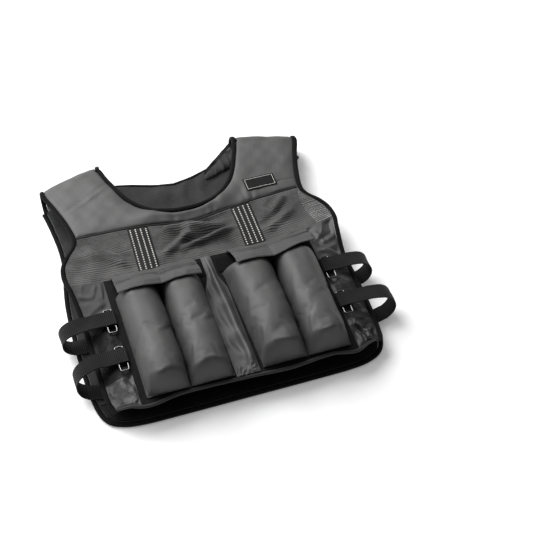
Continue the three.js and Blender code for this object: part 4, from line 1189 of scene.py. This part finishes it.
class VEST_OT_yoke(VestOperator, bpy.types.Operator):
    """Adds the padded yoke, which turns over the shoulders, and the cord in its seam"""

    bl_idname = "vest.yoke"
    bl_label = "Yoke"

    def build(self, sizes):
        def surface(u, v):
            side = np.where(u < 0.5, -1, 1)
            share = np.abs(2 * u - 1)
            outer_x, outer_y = yoke_outer(share, side)
            inner_x, inner_y = neck_inset(share, BESIDE_BINDING + GAP / 2)
            x = outer_x + (inner_x - outer_x) * v
            outer_past = outer_y - shoulder_fold(outer_x)
            inner_past = inner_y - shoulder_fold(inner_x)
            past = outer_past + (inner_past - outer_past) * v
            return on_vest(side * x, shoulder_fold(x) + past)

        def relief(u, v, x, y):
            above_seam = y - yoke_seam(x) - SEAM_ROOM
            puckers = np.sin(x / 0.0035 + 2 * ripple(x, y * 0.2, 0.03, 11))
            puckers = puckers * smooth(x, -0.09, -0.02) * (1 - smooth(x, 0.12, 0.16))
            puckers = puckers * np.exp(-above_seam / 0.006)
            gathers = np.sin(x / 0.0042 + 2.5 * ripple(x, y * 0.2, 0.04, 12))
            gathers = gathers * np.exp(-(((x - 0.072) / 0.03) ** 2)) * np.exp(-(((y - 0.345) / 0.02) ** 2))
            waves = 0.0011 * ripple(x, y, 0.09, 13) + 0.0003 * ripple(x, y, 0.025, 14)
            return 0.0009 * puckers + 0.0010 * gathers + waves + folds(x, y, YOKE_CREASES)

        def padding(u, v):
            return 0.2 + 0.8 * np.sqrt(np.maximum(1 - np.abs(2 * v - 1) ** 3.5, 0))

        pad = cloth("front_yoke", surface, sizes.yoke_pad, padding, relief)
        settle(pad, "front_yoke", "nylon")

        x = np.linspace(-YOKE_LOW_INSIDE, YOKE_LOW_INSIDE, 120)
        proud = 0.0006
        line = np.stack([x, yoke_seam(x), front_height(x, yoke_seam(x)) + proud], -1)
        settle(tube("yoke_piping", line, PIPING / 2 - GAP), "yoke_piping", "cord")


class VEST_OT_bindings(VestOperator, bpy.types.Operator):
    """Adds the tapes on the neck, the sides and armholes, and the front hem"""

    bl_idname = "vest.bindings"
    bl_label = "Bindings"

    def build(self, sizes):
        def neck(u, v):
            side = np.where(u < 0.5, -1, 1)
            x, y = neck_inset(np.abs(2 * u - 1), (1 - v) * BINDING_WIDTH)
            return on_vest(side * x, y)

        tape = cloth("neck_binding", neck, BINDING_THICK, rounded)
        settle(tape, "neck_binding", "binding")

        for name, side in (("edge_binding_left", -1), ("edge_binding_right", 1)):
            hem = float(front_hem(side * HALF_WIDTH))
            reach = FOLD_OUTSIDE - hem + HALF_TURN + YOKE_BEHIND

            def edge(u, v):
                along = hem + u * reach
                inset = BINDING_WIDTH * (v if side > 0 else 1 - v)
                x_front, y_front = beside_edge(np.minimum(along, FOLD_OUTSIDE), inset)
                x_turn = float(front_edge(FOLD_OUTSIDE)) - inset
                y_turn = shoulder_fold(x_turn) + along - FOLD_OUTSIDE
                turned = along > FOLD_OUTSIDE
                return on_vest(side * np.where(turned, x_turn, x_front), np.where(turned, y_turn, y_front))

            def relief(u, v, x, y):
                return 0.0010 * ripple(x, y, 0.05, 21 + side) * (1 - smooth(y, 0.30, 0.34))

            tape = cloth(name, edge, BINDING_THICK, rounded, relief)
            settle(tape, name, "binding")

        def hem_tape(u, v):
            side = np.sign(2 * u - 1)
            corner = front_hem(side * HALF_WIDTH) + v * HEM_BINDING
            reach = front_edge(corner) - BESIDE_BINDING
            x = side * np.abs(2 * u - 1) * reach
            return on_vest(x, front_hem(x) + v * HEM_BINDING)

        # The hem tape's lighter finish is a painted highlight.
        tape = cloth("front_hem_binding", hem_tape, PANEL_THICK + 2 * TRIM_THICK, rounded)
        settle(tape, "front_hem_binding", "hem")


class VEST_OT_chest(VestOperator, bpy.types.Operator):
    """Adds the mesh and the two reflective tapes on it"""

    bl_idname = "vest.chest"
    bl_label = "Chest mesh"

    @staticmethod
    def relief(x, y):
        """The relief of the mesh, shared with the tapes that are sewn on it."""
        up = (y - mesh_seam(x)) / (yoke_seam(x) - mesh_seam(x))
        loose = smooth(up, 0.0, 0.2) * (1 - smooth(up, 0.85, 1.0))
        return loose * (MESH_FOLD_SCALE * folds(x, y, MESH_FOLDS) + 0.0018 * ripple(x, y, 0.045, 31))

    def build(self, sizes):
        def surface(u, v):
            across = 2 * u - 1
            low = mesh_seam(across * MESH_LOW_INSIDE) + GAP
            high = yoke_seam(across * YOKE_LOW_INSIDE) - SEAM_ROOM
            y = low + (high - low) * v
            return on_vest(across * (front_edge(y) - BESIDE_BINDING), y)

        net = cloth("front_mesh", surface, MESH_THICK, relief=lambda u, v, x, y: self.relief(x, y))
        settle(net, "front_mesh", "mesh")

        for name, top, bottom in TAPES:
            def tape_surface(u, v):
                x = (bottom + (top - bottom) * v) * HALF_WIDTH + (u - 0.5) * TAPE_WIDTH
                low, high = mesh_seam(x) + 2 * GAP, yoke_seam(x) - PIPING
                point = on_vest(x, low + (high - low) * v)
                point[..., 2] += self.relief(x, point[..., 1]) + (MESH_THICK + TRIM_THICK) / 2 + GAP
                return point

            tape = cloth(name, tape_surface, TRIM_THICK, rounded_ends)
            settle(tape, name, "tape")
            up = np.linspace(0.03, 0.97, 80)
            lines = []
            for across in TAPE_ROWS:
                line = tape_surface(np.full_like(up, across), up)
                line[:, 2] += TRIM_THICK / 2
                lines.append(line)
            dashes = stitches(name + "_dashes", lines, (0, 0, 1), TAPE_DASH)
            settle(dashes, None, "reflective")


class VEST_OT_label(VestOperator, bpy.types.Operator):
    """Adds the bare label patch on the yoke with its stitched border"""

    bl_idname = "vest.label"
    bl_label = "Label"

    def build(self, sizes):
        centre_x, centre_y = 0.123, YOKE_SEAM + 0.034
        base = FRONT_RISE + sizes.yoke_pad / 2 + GAP + TRIM_THICK / 2

        def surface(u, v):
            x = centre_x + (u - 0.5) * sizes.label_width
            y = centre_y + (v - 0.5) * sizes.label_height
            return np.stack([x, y, np.full_like(x, base)], -1)

        patch = cloth("label_patch", surface, TRIM_THICK, rounded_ends)
        settle(patch, "label_patch", "patch")
        inset = 0.0028
        half_x, half_y = sizes.label_width / 2 - inset, sizes.label_height / 2 - inset
        corners = np.array([[-1, -1], [1, -1], [1, 1], [-1, 1], [-1, -1]]) * [half_x, half_y]
        line = []
        for start, end in zip(corners[:-1], corners[1:]):
            for t in np.linspace(0, 1, 24):
                x, y = start + (end - start) * t
                line.append((centre_x + x, centre_y + y, base + TRIM_THICK / 2))
        border = stitches("label_border", [line], (0, 0, 1), LABEL_STITCH)
        settle(border, None, "reflective")


class VEST_OT_panel(VestOperator, bpy.types.Operator):
    """Adds the nylon panel behind the pockets, the folded strip in the middle and the sides"""

    bl_idname = "vest.panel"
    bl_label = "Panel and sides"

    def build(self, sizes):
        def panel(u, v):
            x = (2 * u - 1) * PANEL_HALF
            low, high = panel_foot(x), mesh_seam(x) - GAP
            return on_vest(x, low + (high - low) * v)

        obj = cloth("front_panel", panel, PANEL_THICK)
        settle(obj, "front_panel", "shaded_nylon")
        self.strip()
        self.sides()

    @staticmethod
    def strip():
        """The strip between the pairs of pockets: a ridge, diagonal folds and a crumpled foot."""
        low, high = POCKET_FOOT - 0.004, MESH_SEAM - 2 * GAP
        base = PANEL_TOP + GAP + PANEL_THICK / 2

        def surface(u, v):
            y = low + (high - low) * v
            narrow = smooth(y, 0.165, 0.205)
            left, right = -0.0212 + 0.0112 * narrow, 0.0128 - 0.0078 * narrow
            x = left + (right - left) * u
            ends = smooth(v, 0, 0.12) * (1 - smooth(v, 0.85, 1))
            lean = 0.68 + 0.09 * np.sin(5 * v + 0.6) + 0.03 * np.sin(13 * v)
            ridge = 0.0070 * ends * np.exp(-(((u - lean) / 0.17) ** 2))
            loose = smooth(u, 0, 0.2) * (1 - smooth(u, 0.85, 1))
            wrinkles = folds(x, y, STRIP_FOLDS) + 0.0005 * ripple(x, y * 0.6, 0.02, 42)
            foot = 0.0018 * crumple(x, y, 0.011, 41) * (1 - smooth(y, 0.020, 0.034))
            return np.stack([x, y, base + ridge + loose * (0.0008 + wrinkles + foot)], -1)

        thickness = PANEL_THICK * 0.6
        obj = cloth("centre_strip", surface, thickness)
        settle(obj, "centre_strip", "nylon")
        head = np.linspace(0.86, 0.985, 40)
        lines = []
        for across in STRIP_ROWS:
            line = surface(np.full_like(head, across), head)
            line[:, 2] += thickness / 2 + 0.0004
            lines.append(line)
        seam = stitches("strip_stitches", lines, (0, 0, 1), STRIP_STITCH)
        settle(seam, None, "pale_thread")

    def sides(self):
        """The cloth between the pockets and the outer edges, in three zones on each side."""
        def level(height):
            return lambda x: np.full_like(x, height)

        def below_mesh(x):
            return mesh_seam(x) - GAP

        zones = {
            "wing_lower": ("coated", "coated", "nylon", panel_foot, level(INSET_LOW - GAP)),
            # The left inset takes the near-black deep finish: painted shade.
            "side_inset": ("deep", "coated", "black_cloth", level(INSET_LOW), level(INSET_HIGH)),
            # The left upper wing takes the darker nylon finish: painted shade.
            "wing_upper": ("left_shade_nylon", "nylon", "nylon", level(INSET_HIGH + GAP), below_mesh),
        }
        for word, side in (("left", -1), ("right", 1)):
            for zone, (left_finish, right_finish, slot, low, high) in zones.items():
                foot_reach = hem_inside(side) if zone == "wing_lower" else MESH_LOW_INSIDE

                def surface(u, v):
                    outward = u if side > 0 else 1 - u
                    foot = low(side * (PANEL_HALF + (foot_reach - PANEL_HALF) * outward))
                    head = high(side * (PANEL_HALF + (MESH_LOW_INSIDE - PANEL_HALF) * outward))
                    y = foot + (head - foot) * v
                    start = PANEL_HALF + GAP
                    x = side * (start + (front_edge(y) - BESIDE_BINDING - start) * outward)
                    return on_vest(x, y)

                def relief(u, v, x, y):
                    inside = smooth(u, 0, 0.15) * (1 - smooth(u, 0.85, 1))
                    inside = inside * smooth(v, 0, 0.08) * (1 - smooth(v, 0.92, 1))
                    return inside * self.side_relief(zone, side, x, y)

                name = f"{zone}_{word}"
                obj = cloth(name, surface, PANEL_THICK * 0.7, relief=relief)
                settle(obj, name, right_finish if side > 0 else left_finish)

    @staticmethod
    def side_relief(zone, side, x, y):
        """Creases of the cloth at one side, which lies looser on the right."""
        height = 0.0018 * crumple(x, y, 0.045, 51 + side) + 0.0014 * ripple(x, y, 0.03, 52 + side)
        if zone == "wing_upper":
            rows = [((side * a[0], a[1]), (side * b[0], b[1]), *rest) for a, b, *rest in UPPER_WING_FOLDS]
            height = height + folds(x, y, rows)
        if zone == "wing_lower" and side > 0:
            height = height + folds(x, y, RIGHT_CORNER_FOLDS)
        if zone == "wing_lower" and side < 0:
            height = height + 0.0020 * ripple(x, y * 0.35, 0.018, 50)
        return height if side > 0 else height / 2


class VEST_OT_pockets(VestOperator, bpy.types.Operator):
    """Adds the four filled pockets, swollen by a cloth simulation with pressure"""

    bl_idname = "vest.pockets"
    bl_label = "Pockets"

    def build(self, sizes):
        for number, pocket in enumerate(POCKETS):
            obj = self.loaf(pocket, number, sizes)
            self.swell(obj, sizes)
            smoother = obj.modifiers.new("finer", "SUBSURF")
            smoother.levels = smoother.render_levels = 1
            apply_all(obj)
            settle(obj, pocket[0], "nylon", smooth_angle=60)

    @staticmethod
    def even_places(profile, places, count):
        """Places along a curve, such that the steps on the curve are even."""
        steps = np.hypot(np.diff(places), np.diff(profile))
        along = np.concatenate([[0], np.cumsum(steps)])
        return np.interp(np.linspace(0, along[-1], count + 1), along, places)

    @staticmethod
    def wrinkles(left, right, foot, number):
        """Folds of one pocket, placed from its sides and its foot."""
        return [
            ((left + 0.008, foot - 0.004), (left + 0.016, foot + 0.030), 0.003, 0.0014, 0.6),
            ((right - 0.010, foot - 0.004), (right - 0.017, foot + 0.024), 0.003, 0.0012, 0.6),
            ((left + 0.004, 0.075), (left + 0.014, 0.100 + 0.01 * number), 0.004, 0.0006, 0.5),
            ((right - 0.005, 0.120), (right - 0.016, 0.098), 0.004, 0.0006, 0.5),
            ((left + 0.012, 0.172), (right - 0.02, 0.165), 0.005, 0.0005, 0.5),
        ]

    def loaf(self, pocket, number, sizes):
        """The filled shape before it swells: a grid over the panel with a flat base."""
        name, _, _, full = pocket
        columns, rows = grid_of(name)
        height = sizes.pocket_height * full
        fine_y = np.linspace(POCKET_FOOT, POCKET_FOOT + POCKET_LENGTH, 4000)
        row_y = self.even_places(height * pocket_profile(fine_y, sizes), fine_y, rows)
        fine_a = np.linspace(-1, 1, 2000)
        half = POCKET_WIDTH / 2
        column_a = self.even_places(height * pocket_section(fine_a), fine_a * half, columns) / half
        base = PANEL_TOP + GAP

        def surface(u, v):
            across = column_a[np.rint(u * columns).astype(int)]
            y = row_y[np.rint(v * rows).astype(int)]
            left, right = pocket_sides(pocket, y)
            x = left + (right - left) * (across + 1) / 2
            pinch = 0.008 * np.abs(across) ** 3 * (1 + 0.5 * np.sin(5 * across + 2 * number))
            pinch = pinch + 0.0016 * np.sin(5 * across + 1.7 * number) * (1 - across**2)
            fullness = 1.8 + 1.4 * smooth(y, POCKET_FOOT, POCKET_FOOT + 0.045)
            rise = height * pocket_section(across, fullness) * pocket_profile(y, sizes, pinch)
            return np.stack([x, y, base + np.maximum(rise, POCKET_LIP)], -1)

        def relief(u, v, x, y):
            off_seams = smooth(u, 0, 0.06) * (1 - smooth(u, 0.94, 1))
            off_seams = off_seams * smooth(v, 0, 0.03) * (1 - smooth(v, 0.97, 1))
            uneven = 0.0003 * ripple(x, y * 0.6, 0.022, 61 + number)
            uneven = uneven + 0.0008 * ripple(x, y, 0.07, 65 + number)
            left, right = pocket_sides(pocket, y)
            lines = self.wrinkles(left.mean(), right.mean(), POCKET_FOOT + sizes.pocket_foot, number)
            return off_seams * (uneven + folds(x, y, lines))

        obj, i, j = lay_grid(name, surface, relief)
        self.close_below(obj, base)
        held = obj.vertex_groups.new(name="held")
        rim = (i == 0) | (i == columns) | (j == 0) | (j == rows)
        crest = row_y[j] < POCKET_FOOT + sizes.pocket_foot * 1.15
        for index in range(len(obj.data.vertices)):
            weight = 1.0 if index >= len(i) or rim[index] else 0.75 if crest[index] else 0.1
            held.add([index], weight, "REPLACE")
        return obj

    @staticmethod
    def close_below(obj, base):
        """Draws a grid's rim straight down to its base and closes it there."""
        mesh = obj.data
        top = len(mesh.vertices)
        select_only(obj)
        bpy.ops.object.mode_set(mode="EDIT")
        bpy.ops.mesh.select_all(action="SELECT")
        bpy.ops.mesh.region_to_loop()
        bpy.ops.mesh.extrude_edges_move()
        bpy.ops.object.mode_set(mode="OBJECT")
        for vertex in mesh.vertices[top:]:
            vertex.co.z = base
        bpy.ops.object.mode_set(mode="EDIT")
        bpy.ops.mesh.edge_face_add()
        bpy.ops.mesh.quads_convert_to_tris(ngon_method="BEAUTY")
        bpy.ops.mesh.select_all(action="SELECT")
        bpy.ops.mesh.normals_make_consistent(inside=False)
        bpy.ops.object.mode_set(mode="OBJECT")

    @staticmethod
    def swell(obj, sizes):
        """Blows the cloth up a little from inside, then keeps each point near its start."""
        mesh = obj.data
        before = np.array([vertex.co for vertex in mesh.vertices])
        modifier = obj.modifiers.new("cloth", "CLOTH")
        settings = modifier.settings
        settings.quality = 6
        settings.mass = 0.15
        settings.use_pressure = True
        settings.uniform_pressure_force = SWELL_PRESSURE
        settings.tension_stiffness = SWELL_STIFFNESS
        settings.compression_stiffness = SWELL_STIFFNESS
        settings.shear_stiffness = SWELL_STIFFNESS / 2
        settings.bending_stiffness = 0.2
        settings.vertex_group_mass = "held"
        settings.pin_stiffness = 1.0
        settings.effector_weights.gravity = 0
        settings.shrink_min = SWELL_SHRINK
        modifier.collision_settings.use_collision = False
        modifier.collision_settings.use_self_collision = False
        modifier.point_cache.frame_end = SWELL_FRAMES
        scene = bpy.context.scene
        for step in range(1, SWELL_FRAMES + 1):
            scene.frame_set(step)
        swollen = obj.evaluated_get(bpy.context.evaluated_depsgraph_get()).to_mesh()
        after = np.array([vertex.co for vertex in swollen.vertices])
        obj.to_mesh_clear()
        obj.modifiers.clear()
        scene.frame_set(1)
        moved = after - before
        far = np.linalg.norm(moved, axis=1, keepdims=True)
        after = before + moved * np.minimum(1, sizes.sim_limit / np.maximum(far, 1e-9))
        after[:, 2] = np.maximum(after[:, 2], PANEL_TOP + GAP)
        mesh.vertices.foreach_set("co", after.astype(np.float32).ravel())
        mesh.update()


class VEST_OT_flaps(VestOperator, bpy.types.Operator):
    """Adds the flaps over the pocket heads, their stitching and the hook patches"""

    bl_idname = "vest.flaps"
    bl_label = "Flaps"

    def build(self, sizes):
        for name, left, right, raised, below in FLAPS:
            def surface(u, v):
                x = (left + (right - left) * u) * POCKET_WIDTH
                seam = mesh_seam(x) - TRIM_THICK
                raise_end = raised * FLAP_LENGTH * smooth(u, 0.45, 1)
                low = seam - FLAP_LENGTH + raise_end
                y = low + (seam - low) * v
                rise = flap_rise(x, y, seam, sizes)
                return np.stack([x, y, PANEL_TOP + GAP + FLAP_THICK / 2 + rise], -1)

            def relief(u, v, x, y):
                waves = 0.0008 * ripple(x, y, 0.05, 71) + 0.0004 * ripple(x, y * 0.4, 0.018, 72)
                step = FLAP_STEP * smooth(v, 0.485, 0.515)
                hem = 0.0008 * np.exp(-(((v - 0.03) / 0.03) ** 2))
                return (waves * smooth(v, 0, 0.2) + step) * (1 - smooth(v, 0.93, 1)) + hem

            flap = cloth(name, surface, FLAP_THICK, relief=relief)
            settle(flap, name, "dull_nylon")

            across = np.linspace(0.015, 0.985, 90)
            lines = []
            for up in FLAP_ROWS:
                line = surface(across, np.full_like(across, up))
                line[:, 2] += FLAP_THICK / 2 + 0.0003 + (FLAP_STEP if up > 0.5 else 0)
                lines.append(line)
            size = (sizes.stitch, sizes.stitch_pitch, FLAP_STITCH_RADIUS)
            seam = stitches(name + "_stitches", lines, (0, -0.3, 0.95), size)
            settle(seam, None, "thread")
        self.hook_patches()

    @staticmethod
    def hook_patches():
        for name, left, right in HOOK_PATCHES:
            def surface(u, v):
                x = (left + (right - left) * u) * POCKET_WIDTH
                y = POCKET_FOOT + POCKET_LENGTH + (0.1 + 0.7 * v) * MOUTH_HEIGHT
                return np.stack([x, y, np.full_like(x, PANEL_TOP + GAP + TRIM_THICK / 2)], -1)

            patch = cloth(name, surface, TRIM_THICK, rounded_ends)
            settle(patch, name, "hook")


class VEST_OT_straps(VestOperator, bpy.types.Operator):
    """Adds the looped side straps and the steel rings that they hold"""

    bl_idname = "vest.straps"
    bl_label = "Straps"

    @staticmethod
    def strap_line(reach):
        """The middle line of a strap from its tail, round the ring, out, over and back."""
        points = [(RING_X + STRAP_TAIL, WIRE_HEIGHT - WRAP_RADIUS)]
        for angle in np.linspace(1.5 * math.pi, 0.5 * math.pi, 9):
            wrap = (RING_X + WRAP_RADIUS * math.cos(angle), WIRE_HEIGHT + WRAP_RADIUS * math.sin(angle))
            points.append(wrap)
        radius = (STRAP_HIGH - STRAP_LOW) / 2
        centre = reach - radius - WEBBING_THICK / 2
        for share in (0.25, 0.5, 0.75):
            sag = STRAP_SAG * math.sin(share * math.pi)
            points.append((RING_X + (centre - RING_X) * share, STRAP_HIGH - sag))
        for angle in np.linspace(0.5 * math.pi, -0.5 * math.pi, 13):
            loop = (centre + radius * math.cos(angle), STRAP_LOW + radius * (1 + math.sin(angle)))
            points.append(loop)
        points.append((STRAP_END * HALF_WIDTH, STRAP_LOW))
        return points

    def build(self, sizes):
        for name, side, front, back, reach in STRAPS:
            points = np.array(self.strap_line(reach * HALF_WIDTH))
            line, _ = spline(points)
            places = lengths_along(points)
            turn_start = places[np.argmax(points[:, 0] > 0.9 * HALF_WIDTH)] / places[-1]
            front_y = POCKET_FOOT + front * POCKET_LENGTH
            back_y = POCKET_FOOT + back * POCKET_LENGTH

            def surface(u, v):
                at = np.interp(u * places[-1], places, np.linspace(0, 1, len(places)))
                point = line(at)
                turned = np.clip((u - turn_start) / (1 - turn_start), 0, 1)
                across = (v - 0.5 if side > 0 else 0.5 - v) * WEBBING_WIDTH
                y = front_y + (back_y - front_y) * turned + across
                return np.stack([side * point[..., 0], y, point[..., 1]], -1)

            def relief(u, v, x, y):
                seed = 91 + int(10 * front) + side
                return 0.0007 * ripple(x, y, 0.03, seed) * smooth(u, 0.15, 0.25)

            strap = cloth("strap_" + name, surface, WEBBING_THICK, relief=relief)
            settle(strap, "strap_" + name, "webbing")
            self.ring("ring_" + name, side, front_y)

    @staticmethod
    def ring(name, side, front_y):
        """A wire ring with rounded corners, bent from a torus."""
        bpy.ops.object.select_all(action="DESELECT")
        bpy.ops.mesh.primitive_torus_add(
            major_segments=64, minor_segments=12, major_radius=1.0, minor_radius=0.5,
        )
        obj = name_it(name)
        co = np.array([vertex.co for vertex in obj.data.vertices])
        angle = np.arctan2(co[:, 1], co[:, 0])
        out = (np.hypot(co[:, 0], co[:, 1]) - 1) / 0.5
        up = co[:, 2] / 0.5

        def power(value, exponent):
            return np.sign(value) * np.abs(value) ** exponent

        centre = np.stack([
            side * (RING_X + RING_HALF_WIDTH) + RING_HALF_WIDTH * power(np.cos(angle), RING_CORNER),
            front_y - RING_DROP + RING_HALF_LENGTH * power(np.sin(angle), RING_CORNER) - ORIGIN_Y,
        ], -1)
        normal = np.stack([
            power(np.cos(angle), 2 - RING_CORNER) / RING_HALF_WIDTH,
            power(np.sin(angle), 2 - RING_CORNER) / RING_HALF_LENGTH,
        ], -1)
        normal /= np.maximum(np.linalg.norm(normal, axis=1, keepdims=True), 1e-9)
        place = np.concatenate([
            centre + normal * out[:, None] * WIRE / 2, (WIRE_HEIGHT + up * WIRE / 2)[:, None],
        ], -1)
        obj.data.vertices.foreach_set("co", place.astype(np.float32).ravel())
        settle(obj, name, "steel", smooth_angle=80)


class VEST_OT_stage(VestOperator, bpy.types.Operator):
    """Adds the pale floor, the soft studio light and the camera"""

    bl_idname = "vest.stage"
    bl_label = "Stage"

    def build(self, sizes):
        scene = bpy.context.scene
        scene.view_settings.view_transform = "Standard"
        bpy.ops.object.select_all(action="DESELECT")
        bpy.ops.mesh.primitive_plane_add(size=FLOOR_SIZE)
        floor = name_it("floor")
        material = bpy.data.materials.new("floor")
        material.use_nodes = True
        tree = material.node_tree
        shader = tree.nodes["Principled BSDF"]
        shader.inputs["Base Color"].default_value = (FLOOR_WHITE, FLOOR_WHITE, FLOOR_WHITE, 1)
        shader.inputs["Roughness"].default_value = 0.9
        shader.inputs["Emission Strength"].default_value = FLOOR_GLOW
        floor.data.materials.append(material)

        world = bpy.data.worlds.new("studio")
        world.use_nodes = True
        self.sky(world.node_tree)
        scene.world = world

        for lamp in LIGHTS:
            self.light(*lamp)
        self.camera(scene)

    @staticmethod
    def sky(tree):
        """Soft light that is brighter behind the vest than in front of it."""
        place = tree.nodes.new("ShaderNodeTexCoord")
        parts = tree.nodes.new("ShaderNodeSeparateXYZ")
        strength = tree.nodes.new("ShaderNodeMapRange")
        for end, (direction, brightness) in (("Min", SKY_FRONT), ("Max", SKY_BEHIND)):
            strength.inputs["From " + end].default_value = direction
            strength.inputs["To " + end].default_value = brightness
        wire(
            tree,
            (place.outputs["Generated"], parts.inputs[0]),
            (parts.outputs["Y"], strength.inputs["Value"]),
            (strength.outputs["Result"], tree.nodes["Background"].inputs["Strength"]),
        )
        tree.nodes["Background"].inputs["Color"].default_value = (1, 1, 1, 1)

    @staticmethod
    def light(name, place, size, power):
        """A square area light that points at the vest."""
        bpy.ops.object.light_add(type="AREA", location=place)
        lamp = name_it(name)
        lamp.data.size = size
        lamp.data.energy = power
        lamp.rotation_euler = (-Vector(place)).to_track_quat("-Z", "Y").to_euler()

    @staticmethod
    def camera(scene):
        """The camera of the photograph, as solved from it."""
        place, target = Vector(CAMERA_PLACE), Vector(CAMERA_TARGET)
        roll = math.radians(CAMERA_ROLL)
        data = bpy.data.cameras.new("camera")
        data.lens = CAMERA_LENS
        data.sensor_width = CAMERA_SENSOR
        data.clip_start, data.clip_end = 0.05, 60
        camera = bpy.data.objects.new("camera", data)
        scene.collection.objects.link(camera)
        ahead = (target - place).normalized()
        right = ahead.cross(Vector((0, 0, 1))).normalized()
        up = right.cross(ahead)
        right_rolled = right * math.cos(roll) + up * math.sin(roll)
        up_rolled = up * math.cos(roll) - right * math.sin(roll)
        turn = Matrix((right_rolled, up_rolled, -ahead)).transposed()
        camera.matrix_world = Matrix.Translation(place) @ turn.to_4x4()
        scene.camera = camera


class VEST_PT_panel(bpy.types.Panel):
    """Lists the vest's pieces in the sidebar"""

    bl_idname = "VEST_PT_panel"
    bl_label = "Weighted vest"
    bl_space_type = "VIEW_3D"
    bl_region_type = "UI"
    bl_category = "Vest"

    def draw(self, context):
        for operator in OPERATORS:
            self.layout.operator(operator.bl_idname)
        for group in (context.scene.vest_sizes, context.scene.vest_colours):
            box = self.layout.box()
            for name in group.__annotations__:
                box.prop(group, name)


OPERATORS = (
    VEST_OT_stage,
    VEST_OT_back,
    VEST_OT_yoke,
    VEST_OT_bindings,
    VEST_OT_chest,
    VEST_OT_label,
    VEST_OT_panel,
    VEST_OT_pockets,
    VEST_OT_flaps,
    VEST_OT_straps,
)
CLASSES = (VestSizes, VestColours, *OPERATORS, VEST_PT_panel)


def register():
    for cls in CLASSES:
        bpy.utils.register_class(cls)
    bpy.types.Scene.vest_sizes = PointerProperty(type=VestSizes)
    bpy.types.Scene.vest_colours = PointerProperty(type=VestColours)


def unregister():
    del bpy.types.Scene.vest_colours
    del bpy.types.Scene.vest_sizes
    for cls in reversed(CLASSES):
        bpy.utils.unregister_class(cls)


def main():
    register()
    for operator in OPERATORS:
        module, name = operator.bl_idname.split(".")
        getattr(getattr(bpy.ops, module), name)()


if __name__ == "__main__":
    main()
